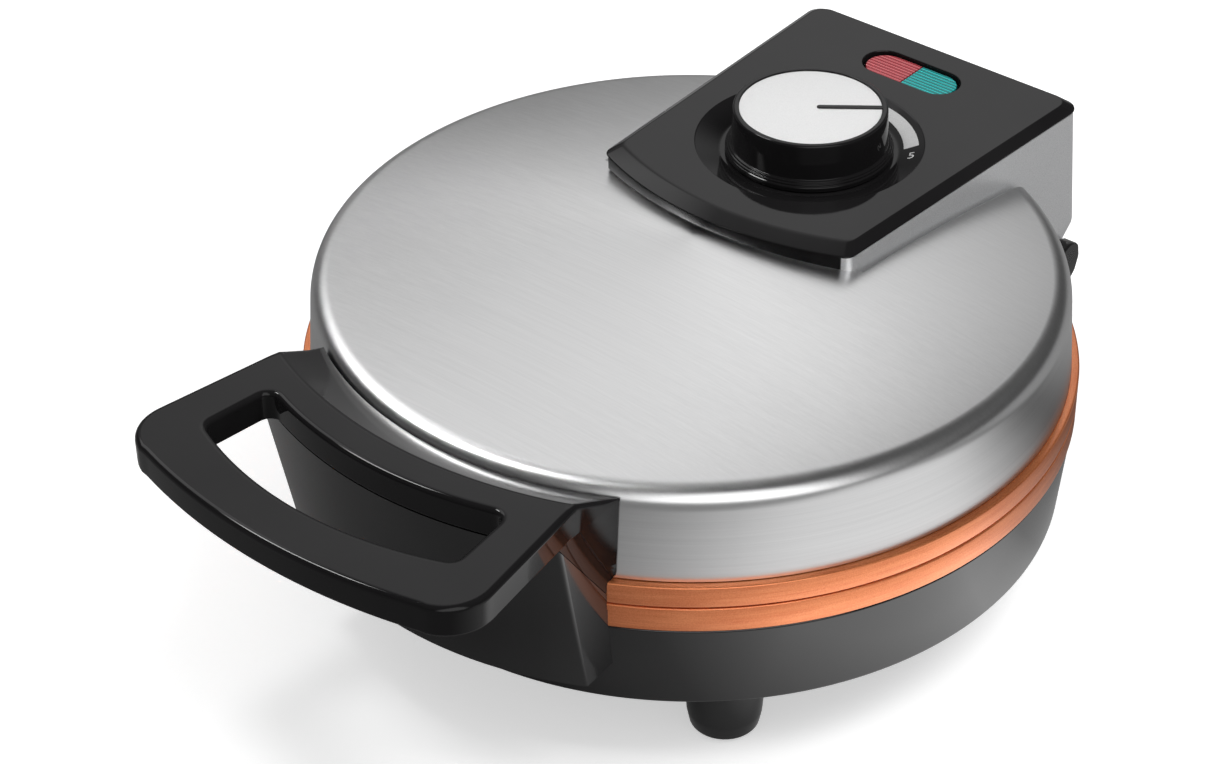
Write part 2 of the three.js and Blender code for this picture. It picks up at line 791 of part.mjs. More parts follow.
// Waffle plate: a dish, its tapered pegs and the cross ridges that part the quarters
function wafflePlate(side) {
  const back = plateFloorDepth + plateThickness;
  const flangeFront = frameFaceDepth + framePlate + seatGap;
  const dish = revolve(fromSeam([
    [0, back], [plateBackRadius, back], [plateBackRadius, flangeFront + plateFlange],
    [plateFlangeRadius, flangeFront + plateFlange], [plateFlangeRadius, flangeFront],
    [plateNeckRadius, flangeFront], [plateNeckRadius, plateRimDepth],
    [plateRimInner, plateRimDepth], [plateFloorRadius, plateFloorDepth], [0, plateFloorDepth],
  ], side), innerRingSides);
  const root = plateFloorDepth + plateThickness / 2;
  const pegs = pegPlaces().map(([x, y]) => taper(
    x, y, pegBase / 2, seamZ + side * root, pegTip / 2, seamZ + side * pegTipDepth));
  const ridge = [
    [-ridgeBase / 2, root], [-ridgeTip / 2, ridgeTipDepth],
    [ridgeTip / 2, ridgeTipDepth], [ridgeBase / 2, root],
  ].map(([y, depth]) => [y, seamZ + side * depth]);
  const length = plateFloorRadius + (plateRimInner - plateFloorRadius) / 2;
  const along = sidePrism(ridge, -length, length);
  const across = along.rotate([0, 0, 90]);
  const bosses = plateScrewPlaces().map(([x, y]) => plug(
    plateBossRadius, ...inOrder(side, root, back + panDepth - seatGap), x, y, screwSides));
  const holes = plateScrewPlaces().map(([x, y]) => plug(
    screwRadius + runningGap, ...inOrder(side, back, back + panDepth + cutOverrun), x, y, screwSides));
  return joinAll([dish, ...pegs, along, across, ...bosses]).subtract(joinAll(holes));
}

// Two depths from the seam as levels, the lower one first.
const inOrder = (side, a, b) => [seamZ + side * a, seamZ + side * b].sort((p, q) => p - q);

// Pegs fill each quarter from its inner corner, as far as the floor's edge allows.
function pegPlaces() {
  const first = ridgeBase / 2 + (pegPitch - pegBase) + pegBase / 2;
  const reach = plateFloorRadius - pegBase * Math.SQRT1_2;
  const rows = Array.from({ length: Math.ceil(reach / pegPitch) }, (_, i) => first + i * pegPitch);
  const quarter = rows.flatMap((x) => rows.map((y) => [x, y]))
    .filter(([x, y]) => Math.hypot(x, y) <= reach);
  return quarter.flatMap(([x, y]) => [[x, y], [-x, y], [-x, -y], [x, -y]]);
}

function plateScrewPlaces() {
  return Array.from({ length: plateScrewCount }, (_, i) => (
    onCircle(plateScrewCircle, (360 / plateScrewCount) * i - 90)
  ));
}

const plateBack = plateFloorDepth + plateThickness;

// Heating element: a round bar bent to a ring, its two legs turned away from the plate
function heater(side) {
  const z = seamZ + side * (plateBack + seatGap + heaterTubeRadius);
  const points = Array.from({ length: heaterSteps + 1 }, (_, i) => {
    const degrees = 90 + heaterGapAngle + ((360 - 2 * heaterGapAngle) * i) / heaterSteps;
    const [x, y] = onCircle(heaterCircle, degrees);
    return new THREE.Vector3(x, y, z);
  });
  const section = Array.from({ length: tubeSides }, (_, i) => (
    new THREE.Vector2(...onCircle(heaterTubeRadius, (360 * i) / tubeSides))
  ));
  const ring = solid(new THREE.ExtrudeGeometry(new THREE.Shape(section), {
    steps: heaterSteps,
    extrudePath: new THREE.CatmullRomCurve3(points),
    bevelEnabled: false,
  }));
  const legs = [points[0], points[heaterSteps]].map((end) => {
    const tip = end.clone().setZ(z + side * heaterLegReach);
    return rod(heaterTubeRadius, end, tip, screwSides);
  });
  return joinAll([ring, ...legs]);
}

const heaterLegPlaces = () => [90 + heaterGapAngle, 90 - heaterGapAngle]
  .map((degrees) => onCircle(heaterCircle, degrees));

// Reflector pan behind a heating element, held by the plate's screws
function reflectorPan(side) {
  const rim = plateBack + seatGap;
  const floor = plateBack + panDepth;
  const pan = revolve(fromSeam([
    [0, floor + panThickness], [panFloorRadius + panThickness, floor + panThickness],
    [panRimRadius + panThickness, rim + panThickness],
    [panRimRadius + panFlange, rim + panThickness], [panRimRadius + panFlange, rim],
    [panRimRadius, rim], [panFloorRadius, floor], [0, floor],
  ], side), innerRingSides);
  const through = inOrder(side, floor - cutOverrun, floor + panThickness + cutOverrun);
  const holes = [
    ...plateScrewPlaces().map(([x, y]) => plug(screwRadius + runningGap, ...through, x, y, screwSides)),
    ...heaterLegPlaces().map(([x, y]) => plug(heaterLegHole, ...through, x, y, screwSides)),
  ];
  if (side > 0) {
    holes.push(plug(thermostatRadius + seatGap * 2, ...through, 0, dialOffset, footSides));
  }
  return pan.subtract(joinAll(holes));
}

function plateScrew(x, y, side) {
  const seat = plateBack + panDepth + panThickness + seatGap;
  return screw(x, y, seamZ + side * seat, panDepth, -side);
}

// Thermal fuse, clipped flat on the lower plate's back
function thermalFuse() {
  const z = seamZ - plateBack - seatGap - fuseRadius;
  return rod(fuseRadius,
    new THREE.Vector3(-fuseLength / 2, 0, z), new THREE.Vector3(fuseLength / 2, 0, z), screwSides);
}

// Terminal block on the bottom cover, behind the elements
function terminalBlock() {
  const low = coverZ + bottomThickness + seatGap;
  return block(
    [-terminalWidth / 2, terminalOffset - terminalDepth / 2, low],
    [terminalWidth / 2, terminalOffset + terminalDepth / 2, low + terminalHeight],
  );
}

// Cord gland through the bowl's rear wall, with its flange outside
const glandZ = footHeight + glandHeight;
function glandRod(radius, from, to) {
  return rod(radius, new THREE.Vector3(0, from, glandZ), new THREE.Vector3(0, to, glandZ));
}
function cordGland() {
  const wall = baseFootRadius + baseWall;
  const flange = glandRod(glandFlange, wall, wall + glandFlangeLength);
  const body = glandRod(glandBody, wall - baseWall * 2 - glandTail, wall);
  const bore = glandRod(glandBore, wall - baseWall * 2 - glandTail * 2, wall + glandTail);
  return flange.add(body).subtract(bore);
}
const glandHole = () => glandRod(
  glandBody + seatGap, baseFootRadius - baseWall * 2 - cutOverrun, baseFootRadius + baseWall * 2);

// Lid cover: spun steel with its rear edge cut out for the control housing
function lidCover() {
  const outer = lidProfile(0);
  const inner = lidProfile(steelThickness).reverse();
  const shell = revolve([...outer, ...inner]);
  const cut = wedge(coverCutGap, deckZ - seatGap, panelZ);
  const holes = handleScrewRods(screwRadius + runningGap, cutOverrun);
  return shell.subtract(cut).subtract(joinAll(holes));
}

// Screws that hold the handle's flange, from inside the lid, square to its wall.
const handleScrewZ = handleBottomZ - handleScrewDrop;
function handleScrewRods(radius, overrun) {
  return [-1, 1].map((side) => {
    const x = side * handleScrewX;
    const out = new THREE.Vector3(x, -Math.sqrt(steelFootRadius ** 2 - x ** 2), 0).normalize();
    const from = out.clone().multiplyScalar(shoulderRadius - overrun).setZ(handleScrewZ);
    const to = out.clone().multiplyScalar(bandRadius - seatGap + overrun).setZ(handleScrewZ);
    return rod(radius, from, to, screwSides);
  });
}
function handleScrew(side) {
  const x = side * handleScrewX;
  const out = new THREE.Vector3(x, -Math.sqrt(steelFootRadius ** 2 - x ** 2), 0).normalize();
  const inner = steelRadiusAt(handleScrewZ) - steelThickness - seatGap * 2;
  const at = (radius) => out.clone().multiplyScalar(radius).setZ(handleScrewZ);
  const head = rod(screwHeadRadius, at(inner - handleScrewHead), at(inner), screwSides);
  const shank = rod(screwRadius, at(inner - handleScrewHead), at(bandRadius - seatGap * 2), screwSides);
  return head.add(shank);
}

// Lid handle: the flat loop, its window, the ramp down to the dome, the cheeks and the flange
function lidHandle() {
  const outline = bowedOutline({
    reach: frontReach, radius: handleFrontBow, sideAt: handleSide,
    frontCorner: handleFrontCorner, rearY: -handleRootY, rearCorner: 0,
  });
  const kink = [handleSide(-handleKinkY), -handleKinkY];
  const last = outline.length - 1;
  const loop = [
    ...outline.slice(0, last - 1), new THREE.Vector2(...kink), outline[last - 1],
    outline[last], new THREE.Vector2(-kink[0], kink[1]),
  ];
  const slab = prism(loop, handleBottomZ, handleTopZ);
  const rearCorner = bow(windowRear, windowRearBow, windowRearHalf);
  const frontCorner = bow(windowFront, windowFrontBow, windowFrontHalf);
  const openingOutline = rounded([
    ...withEnds(frontCorner), ...withEnds(rearCorner).reverse(),
  ]);
  const opening = prism(openingOutline, handleBottomZ - cutOverrun, handleTopZ + cutOverrun);
  const sides = [-1, 1].map((side) => {
    const ends = [side * (handleRootHalf - cheekThickness), side * bandRadius].sort((a, b) => a - b);
    return block(
      [ends[0], -windowFront, seamZ],
      [ends[1], 0, handleBottomZ + seatGap],
    );
  });
  const cheeks = apronForm(0, seamZ, handleBottomZ + seatGap)
    .intersect(partingPrism(0))
    .intersect(joinAll(sides));
  const flange = revolve([
    [shoulderRadius, handleBottomZ - flangeDrop],
    [steelFootRadius + seatGap + flangeThickness, handleBottomZ - flangeDrop],
    [steelFootRadius + seatGap + flangeThickness, handleBottomZ + rampEnd / 2],
    [shoulderRadius, handleBottomZ + rampEnd / 2],
  ]).intersect(block(
    [-handleRootHalf, -bandRadius - cutOverrun, seamZ],
    [handleRootHalf, -handleRootY, handleTopZ],
  ));
  return joinAll([slab, cheeks, flange])
    .subtract(opening)
    .subtract(rampCutter())
    .subtract(lidEnvelope(seatGap))
    .subtract(joinAll(handleScrewRods(screwRadius + runningGap, cutOverrun)));
}

// A window's long edge with rounded ends.
function withEnds(edge) {
  return edge.map(([x, y], i) => (
    i === 0 || i === edge.length - 1 ? [x, y, windowCorner] : [x, y]
  ));
}

// What the concave ramp takes off the handle's rear, from the flat's edge down to the lid.
function rampCutter() {
  const loops = Array.from({ length: bowSteps * 2 + 1 }, (_, i) => {
    const x = rampSpread * (i / bowSteps - 1);
    const edge = rampEdgeBow - rampEdge - Math.sqrt(rampEdgeBow ** 2 - x ** 2);
    const foot = -Math.sqrt(steelFootRadius ** 2 - x ** 2);
    const profile = Array.from({ length: rampSteps + 1 }, (_, step) => {
      const share = step / rampSteps;
      const drop = (handleThickness - rampEnd) * (1 - (1 - share) ** 2);
      return new THREE.Vector3(x, edge + (foot - edge) * share, handleTopZ - drop);
    });
    return [
      new THREE.Vector3(x, edge, panelZ), ...profile,
      new THREE.Vector3(x, 0, handleBottomZ + rampEnd), new THREE.Vector3(x, 0, panelZ),
    ];
  });
  return loft(loops);
}

// The underside of the dial's dish, grown by a clearance.
function dishCup(gap) {
  const low = panelZ - dishDepth - dishWall - gap;
  return revolve([
    [0, low], [dishFloorRadius + dishWall + gap, low],
    [dishRadius + dishWall + gap, panelFootZ], [0, panelFootZ],
  ], knobSides, 0, dialOffset);
}

// Control housing: leaning walls, a deck over the lid's inside and two bosses down to the frame
function controlHousing() {
  const walls = wedge(0, housingBottomZ, housingTopZ)
    .subtract(wedge(-housingWall, housingBottomZ - cutOverrun, housingTopZ + cutOverrun));
  const deck = wedge(-housingWall / 2, deckZ, deckZ + deckThickness);
  const wallTop = steelRadiusAt(deckZ);
  const lidRoom = revolve([
    [0, seamZ], [bandRadius + seatGap, seamZ], [bandRadius + seatGap, upperBandTopZ + seatGap],
    [steelFootRadius + seatGap, upperBandTopZ + seatGap], [wallTop + seatGap, deckZ], [0, deckZ],
  ]);
  const pinRoom = pinRod(pinRadius + runningGap * 2, cutOverrun);
  const bosses = [-1, 1].map((side) => plug(
    housingBossRadius, seamZ + frameFaceDepth + framePlate + seatGap, deckZ + deckThickness / 2,
    side * housingBossX, Math.sqrt(housingBossCircle ** 2 - housingBossX ** 2), screwSides));
  const shaftHole = plug(
    shaftRadius + runningGap * 2, deckZ - cutOverrun, housingTopZ, 0, dialOffset, footSides);
  const floor = housingBottomZ;
  const corner = panelFootRear + housingLean;
  const chamfer = sidePrism([
    [corner - housingChamfer, floor - cutOverrun], [corner + cutOverrun, floor - cutOverrun],
    [corner + cutOverrun, floor + housingChamfer],
    [corner, floor + housingChamfer], [corner - housingChamfer, floor],
  ], -bandRadius, bandRadius);
  return joinAll([walls.add(deck).subtract(lidRoom).subtract(pinRoom).subtract(chamfer), ...bosses])
    .subtract(shaftHole)
    .subtract(dishCup(seatGap * 2));
}

// Control panel: a bevelled plate with the dial's dish, the lens window and the front lip
function panelOutline(inset) {
  const top = inset > 0;
  const half = (y) => panelFootHalf(y) - (top ? panelSideBevel : 0);
  return bowedOutline({
    reach: -(panelFrontEdge - (top ? 0 : panelFrontBevel)),
    radius: top ? panelTopBow : panelFootBow,
    sideAt: half,
    frontCorner: panelFrontCorner,
    rearY: panelFootRear - (top ? panelRearBevel : 0),
    rearCorner: panelRearCorner,
  });
}
function controlPanel() {
  const foot = panelOutline(0);
  const top = panelOutline(1);
  const plateZ = panelFootZ - panelEdge;
  const plate = loft([lift(foot, plateZ), lift(foot, panelFootZ), lift(top, panelZ)]);
  const dishFloor = panelZ - dishDepth;
  const dish = revolve([
    [0, dishFloor], [dishFloorRadius, dishFloor], [dishRadius, panelZ],
    [dishRadius, panelZ + cutOverrun], [0, panelZ + cutOverrun],
  ], knobSides, 0, dialOffset);
  const shaftHole = plug(
    shaftRadius + runningGap * 2, dishFloor - cutOverrun, panelZ, 0, dialOffset, footSides);
  const lipFoot = panelFootZ - panelEdge - (domeTopZ - shoulderZ);
  const lipOuter = prism(foot, lipFoot, panelFootZ - panelEdge / 2);
  const inward = foot.map((point) => {
    const middle = new THREE.Vector2(0, dialOffset);
    const toMiddle = middle.clone().sub(point);
    return point.clone().addScaledVector(toMiddle.normalize(), lipWall);
  });
  const lipInner = prism(inward, lipFoot - cutOverrun, panelZ);
  const front = block([-bandRadius, 0, lipFoot - cutOverrun], [bandRadius, lipEnd, panelZ]);
  const lip = lipOuter.subtract(lipInner).intersect(front).subtract(lidEnvelope(seatGap));
  const lensHole = capsule(
    lensHalfLength + seatGap, lensRadius + seatGap, plateZ - cutOverrun, panelZ + cutOverrun);
  return joinAll([plate, dishCup(0), lip]).subtract(dish).subtract(shaftHole).subtract(lensHole);
}

// A capsule outline across the panel at the lens's place.
function capsule(half, radius, zLow, zHigh) {
  const corner = radius * capsuleShare;
  return prism(rounded([
    [-half, lensOffset - radius, corner], [half, lensOffset - radius, corner],
    [half, lensOffset + radius, corner], [-half, lensOffset + radius, corner],
  ]), zLow, zHigh);
}

// One half of the capsule lens with the lip that holds it under the panel
function lens(side) {
  const top = panelZ - lensSunk;
  const under = panelFootZ - panelEdge - seatGap;
  const body = capsule(lensHalfLength, lensRadius, top - lensThickness, top);
  const lip = capsule(lensHalfLength + lensLip, lensRadius + lensLip, under - lensLipThickness, under);
  const reach = lensHalfLength * 2;
  const ends = [side * lensDivider / 2, side * reach].sort((a, b) => a - b);
  const half = block([ends[0], lensOffset - reach, deckZ], [ends[1], lensOffset + reach, panelZ]);
  return body.add(lip).intersect(half);
}

// Lamps behind the lenses and the holder that they lie on
const lampZ = panelFootZ - panelEdge - seatGap * 2 - lensLipThickness - lampRadius;
function lamp(side) {
  const x = side * lampSpread;
  return rod(lampRadius,
    new THREE.Vector3(x - lampLength / 2, lensOffset, lampZ),
    new THREE.Vector3(x + lampLength / 2, lensOffset, lampZ), screwSides);
}
function lampHolder() {
  return block(
    [-lampHolderWidth / 2, lensOffset - lampHolderDepth / 2, deckZ + deckThickness + seatGap],
    [lampHolderWidth / 2, lensOffset + lampHolderDepth / 2, lampZ - lampRadius - seatGap],
  );
}

// Thermostat on its bracket on the upper plate's back
const bracketZ = seamZ + plateBack + seatGap;
function thermostatBracket() {
  return block(
    [-bracketLength / 2, dialOffset - bracketWidth / 2, bracketZ],
    [bracketLength / 2, dialOffset + bracketWidth / 2, bracketZ + bracketThickness],
  );
}
const thermostatZ = bracketZ + bracketThickness + seatGap;
const thermostatTopZ = deckZ - thermostatHeadroom;
function thermostatBody() {
  const well = plug(shaftRadius + runningGap, thermostatTopZ - shaftInBody,
    thermostatTopZ + cutOverrun, 0, dialOffset, footSides);
  return plug(thermostatRadius, thermostatZ, thermostatTopZ, 0, dialOffset, footSides).subtract(well);
}

// Dial knob with its collar, skirt, disc and pointer rib, and the shaft that it turns
const knobZ = panelZ - dishDepth + seatGap;
function dialKnob() {
  const collar = knobZ + knobCollarHeight;
  const skirt = collar + knobFlangeHeight;
  const rim = knobZ + knobHeight;
  const seat = rim + discSunk - discThickness - seatGap;
  const body = revolve([
    [0, knobZ], [knobCollarRadius, knobZ], [knobCollarRadius, collar],
    [knobSkirtRadius, skirt], [knobTopRadius, rim - knobRimRound],
    [knobRimRadius, rim], [discRadius + seatGap, rim], [discRadius + seatGap, seat], [0, seat],
  ], knobSides, 0, dialOffset);
  const bore = plug(shaftRadius + seatGap, knobZ - cutOverrun,
    knobZ + shaftInKnob, 0, dialOffset, footSides);
  return body.add(pointerBar(pointerWidth / 2, seat - seatGap, rim + discSunk)).subtract(bore);
}
function pointerBar(half, zLow, zHigh) {
  const grow = half - pointerWidth / 2;
  const along = new THREE.Vector2(...onCircle(1, pointerAngle));
  const across = new THREE.Vector2(-along.y, along.x);
  const end = discRadius - discThickness / 2;
  const at = (reach, side) => new THREE.Vector2(0, dialOffset)
    .addScaledVector(along, reach).addScaledVector(across, side);
  return prism([
    at(pointerStart - grow, -half), at(end + grow, -half),
    at(end + grow, half), at(pointerStart - grow, half),
  ], zLow, zHigh);
}
function knobDisc() {
  const top = knobZ + knobHeight + discSunk;
  return plug(discRadius, top - discThickness, top, 0, dialOffset, knobSides)
    .subtract(pointerBar(pointerWidth / 2 + seatGap, top - discThickness * 2, top + discThickness));
}
const thermostatShaft = () => plug(shaftRadius, thermostatTopZ - shaftInBody + seatGap,
  knobZ + shaftInKnob - seatGap, 0, dialOffset, footSides);

// Assembly of the base
part('base_housing', baseHousing().subtract(glandHole()), blackPlastic);
part('bottom_cover', bottomCover(), blackPlastic);
coverScrewPlaces().forEach(([x, y], i) => {
  part(`bottom_screw_${i + 1}`, screw(x, y, coverZ - seatGap, coverBossHeight / 2, 1), brightSteel);
});
Array.from({ length: footCount }, (_, i) => {
  const [x, y] = onCircle(footCircle, 45 + (360 / footCount) * i);
  part(`foot_${i + 1}`, foot(x, y), blackPlastic);
  part(`foot_pad_${i + 1}`, footPad(x, y), rubber);
});
part('base_band', trimBand(lowerBandZ, lowerBandZ + lowerBandHeight), copper);
part('base_frame', frameRing(-1), blackPlastic);
part('lower_grid', wafflePlate(-1), castPlate);
part('lower_heater', heater(-1), elementSteel);
part('lower_reflector', reflectorPan(-1), panSteel);
part('thermal_fuse', thermalFuse(), ceramic);
part('terminal_block', terminalBlock(), paleNylon);
part('cord_gland', cordGland(), rubber);
part('hinge_pin', pinRod(pinRadius, 0), brightSteel);

// Assembly of the lid
part('lid_cover', lidCover(), brushedSteel);
part('lid_band', lidBand(), copper);
part('lid_frame', lidFrame(), blackPlastic);
part('upper_grid', wafflePlate(1), castPlate);
part('upper_heater', heater(1), elementSteel);
part('upper_reflector', reflectorPan(1), panSteel);
plateScrewPlaces().forEach(([x, y], i) => {
  part(`lower_grid_screw_${i + 1}`, plateScrew(x, y, -1), brightSteel);
  part(`upper_grid_screw_${i + 1}`, plateScrew(x, y, 1), brightSteel);
});
part('lid_handle', lidHandle(), glossBlack);
part('handle_screw_left', handleScrew(-1), brightSteel);
part('handle_screw_right', handleScrew(1), brightSteel);
part('control_housing', controlHousing(), silverPlastic);
part('control_panel', controlPanel(), glossBlack);
part('power_lens', lens(-1), redLens);
part('ready_lens', lens(1), tealLens);
part('power_lamp', lamp(-1), clearGlass);
part('ready_lamp', lamp(1), clearGlass);
part('lamp_holder', lampHolder(), paleNylon);
part('thermostat_bracket', thermostatBracket(), panSteel);
part('thermostat_body', thermostatBody(), ceramic);

// Assembly of the dial
part('dial_knob', dialKnob(), glossBlack);
part('knob_disc', knobDisc(), silverDisc);
part('thermostat_shaft', thermostatShaft(), brightSteel);

export default waffleMaker;
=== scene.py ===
# Round Belgian waffle maker with a hinged steel lid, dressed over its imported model.
# Every shape is drawn in millimetres about the axis of the round body, with the handle
# towards -Y and the hinge towards +Y, and is then set into the model's frame in metres.
import json
import math

import bmesh
import bpy
from mathutils import Matrix, Vector
from mathutils.geometry import delaunay_2d_cdt


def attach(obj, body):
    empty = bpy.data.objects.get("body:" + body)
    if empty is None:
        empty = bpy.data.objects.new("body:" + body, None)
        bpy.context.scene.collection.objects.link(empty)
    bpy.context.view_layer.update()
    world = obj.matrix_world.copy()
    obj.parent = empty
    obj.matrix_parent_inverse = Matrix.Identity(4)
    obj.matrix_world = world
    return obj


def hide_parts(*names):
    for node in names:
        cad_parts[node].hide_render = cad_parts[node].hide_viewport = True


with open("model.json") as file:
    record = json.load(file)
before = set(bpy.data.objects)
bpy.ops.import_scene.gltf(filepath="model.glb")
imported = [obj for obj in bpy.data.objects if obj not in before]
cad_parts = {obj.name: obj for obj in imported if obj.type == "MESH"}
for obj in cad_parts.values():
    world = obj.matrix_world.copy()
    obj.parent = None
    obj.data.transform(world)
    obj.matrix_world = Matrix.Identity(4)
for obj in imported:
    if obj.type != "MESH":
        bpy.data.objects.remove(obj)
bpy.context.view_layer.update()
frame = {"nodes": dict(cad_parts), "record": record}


# Steel lid cover.
# The lid is one piece of spun stainless sheet: a shallow dome, a tight shoulder and a nearly
# upright wall. It is brushed in straight lines on top and turned round the wall, and a slot
# with a turned-down edge is cut in its rear for the control housing.
axis_shift = 22.55
steel_foot_z = 66.7
steel_foot_radius = 113.65
shoulder_radius = 111.7
shoulder_z = 94.75
shoulder_round = 5.6
dome_sphere = 725.0
dome_edge = shoulder_radius - shoulder_round
steel_sheet = 0.8
slot_gap = 0.9
slot_floor = 90.8
slot_round = 1.3
slot_flange = 3.4
round_sides = 240
into_frame = Matrix.Translation((0, axis_shift / 1000, 0)) @ Matrix.Scale(0.001, 4)


def dome_sag(radius):
    return dome_sphere - math.sqrt(dome_sphere ** 2 - radius ** 2)


dome_top = shoulder_z + dome_sag(shoulder_radius)


def steel_radius(z):
    share = (z - steel_foot_z) / (shoulder_z - steel_foot_z)
    return steel_foot_radius + (shoulder_radius - steel_foot_radius) * share


def on_curve(start, corner, end, t):
    return tuple(
        a * (1 - t) ** 2 + 2 * b * t * (1 - t) + c * t * t for a, b, c in zip(start, corner, end)
    )


def lid_outline(inset, dome_steps=24, shoulder_steps=14):
    """The lid's profile from its crown to the foot of its wall, drawn in by an inset."""
    start = (dome_edge, dome_top - dome_sag(dome_edge))
    wall_z = shoulder_z - shoulder_round
    end = (steel_radius(wall_z), wall_z)
    points = []
    for i in range(dome_steps):
        radius = dome_edge * i / dome_steps
        points.append((radius, dome_top - dome_sag(radius) - inset))
    for i in range(shoulder_steps + 1):
        t = i / shoulder_steps
        r, z = on_curve(start, (shoulder_radius, shoulder_z), end, t)
        points.append((r - inset * t, z - inset * (1 - t)))
    for z in (84.0, 78.0, 72.0):
        points.append((steel_radius(z) - inset, z))
    points.append((steel_foot_radius - inset, steel_foot_z))
    return points


def lid_height(radius):
    """The steel's height at a radius, down its shoulder too."""
    outline = lid_outline(0, 48, 40)
    for (r0, z0), (r1, z1) in zip(outline, outline[1:]):
        if r0 <= radius <= r1:
            return z0 + (z1 - z0) * (radius - r0) / (r1 - r0)
    return outline[-1][1]


def stitch(bm, low, high):
    """Quads between two closed rows of as many verts."""
    for i in range(len(low)):
        j = (i + 1) % len(low)
        bm.faces.new((low[i], low[j], high[j], high[i]))


def spin(profile, sides=round_sides, centre=(0, 0), arc=None):
    """A mesh turned from a closed profile of (radius, z), all the way round or over an arc."""
    bm = bmesh.new()
    start, end = arc or (0.0, 360.0)
    steps = sides + 1 if arc else sides
    rings = []
    for i in range(steps):
        angle = math.radians(start + (end - start) * i / sides)
        c, s = math.cos(angle), math.sin(angle)
        rings.append([bm.verts.new((centre[0] + r * c, centre[1] + r * s, z)) for r, z in profile])
    for i in range(sides):
        stitch(bm, rings[i], rings[(i + 1) % steps])
    if arc:
        bm.faces.new(rings[0])
        bm.faces.new(list(reversed(rings[-1])))
    bmesh.ops.remove_doubles(bm, verts=bm.verts, dist=1e-4)
    bmesh.ops.dissolve_degenerate(bm, edges=bm.edges, dist=1e-5)
    return bm


def soften(bm, crease):
    """Shades every face smooth, except where faces meet sharply."""
    limit = math.radians(crease)
    for face in bm.faces:
        face.smooth = True
    for edge in bm.edges:
        edge.smooth = len(edge.link_faces) == 2 and edge.calc_face_angle(0.0) < limit


def mesh_from(bm, name, crease=32):
    """A plain mesh in the model's frame."""
    bmesh.ops.recalc_face_normals(bm, faces=bm.faces)
    soften(bm, crease)
    mesh = bpy.data.meshes.new(name)
    bm.to_mesh(mesh)
    bm.free()
    mesh.transform(into_frame)
    return mesh


def placed(name, data):
    thing = bpy.data.objects.new(name, data)
    bpy.context.scene.collection.objects.link(thing)
    return thing


def piece(name, shape, finish, crease=32):
    """An object in one finish, made from a bmesh or from a mesh that is in the frame."""
    mesh = mesh_from(shape, name, crease) if isinstance(shape, bmesh.types.BMesh) else shape
    mesh.materials.clear()
    mesh.materials.append(finish)
    return placed(name, mesh)


def plain_mesh(thing):
    """The mesh that an object's modifiers or text settings make."""
    bpy.context.view_layer.update()
    graph = bpy.context.evaluated_depsgraph_get()
    return bpy.data.meshes.new_from_object(thing.evaluated_get(graph), depsgraph=graph)


def bake(thing):
    """Turns an object with modifiers into one with a plain mesh."""
    mesh = plain_mesh(thing)
    thing.modifiers.clear()
    old = thing.data
    thing.data = mesh
    mesh.name = thing.name
    bpy.data.meshes.remove(old)
    return thing


def even_normals(thing):
    modifier = thing.modifiers.new("even_normals", "WEIGHTED_NORMAL")
    modifier.keep_sharp = True
    modifier.weight = 90
    return bake(thing)


def cut_with(thing, *cutters):
    for cutter in cutters:
        modifier = thing.modifiers.new("cut", "BOOLEAN")
        modifier.operation = "DIFFERENCE"
        modifier.solver = "EXACT"
        modifier.object = cutter
    bake(thing)
    for cutter in cutters:
        bpy.data.objects.remove(cutter)


def smooth_where_flat(thing, crease=32):
    bm = bmesh.new()
    bm.from_mesh(thing.data)
    soften(bm, crease)
    bm.to_mesh(thing.data)
    bm.free()


def tool(name, bm):
    """A cutting shape, in the model's frame."""
    return placed(name, mesh_from(bm, name))


def ease(corners, steps=6):
    """A closed outline through (x, y, round) corners, each eased to its radius."""
    outline = []
    count = len(corners)
    for i, corner in enumerate(corners):
        here = Vector(corner[:2])
        radius = corner[2] if len(corner) > 2 else 0
        if radius == 0:
            outline.append(tuple(here))
            continue
        before = (Vector(corners[i - 1][:2]) - here).normalized()
        after = (Vector(corners[(i + 1) % count][:2]) - here).normalized()
        half = math.acos(max(-1, min(1, before.dot(after)))) / 2
        reach = radius / math.tan(half)
        middle = here + (before + after).normalized() * (radius / math.sin(half))
        start = here + before * reach - middle
        end = here + after * reach - middle
        sweep = math.atan2(start.x * end.y - start.y * end.x, start.dot(end))
        for step in range(steps + 1):
            a = sweep * step / steps
            outline.append((
                middle.x + start.x * math.cos(a) - start.y * math.sin(a),
                middle.y + start.x * math.sin(a) + start.y * math.cos(a),
            ))
    return outline


def skin(bm, loops, cap=True):
    """Quads between loops of as many points each, with flat ends."""
    rows = [[bm.verts.new(point) for point in loop] for loop in loops]
    for low, high in zip(rows, rows[1:]):
        stitch(bm, low, high)
    if cap:
        bm.faces.new(list(reversed(rows[0])))
        bm.faces.new(rows[-1])
    return rows


def at_height(outline, z):
    return [(x, y, z) for x, y in outline]


# The wedge of the control housing, whose outline the lid's slot follows
panel_half = 44.86
panel_taper = 0.0445
panel_rise = 5.7
panel_thickness = 2
dial_y = 57.5
bevel_side = 3.1
wedge_front = 21.0
wedge_rear = 129.5
wedge_lean = 2.5
wedge_side_lean = 1.7
wedge_corner = 6.0
wedge_height = 46.2
wedge_chamfer = 5.0
panel_foot_z = dome_top + panel_rise - panel_thickness
wedge_low_z = panel_foot_z - wedge_height


def foot_half(y):
    return panel_half + bevel_side + panel_taper * (y - dial_y)


def wedge_rear_and_lean(z, grow):
    share = min(1, (panel_foot_z - z) / (wedge_height - wedge_chamfer))
    rear = wedge_rear + wedge_lean * share + grow - max(0, wedge_low_z + wedge_chamfer - z)
    return rear, wedge_side_lean * share + grow


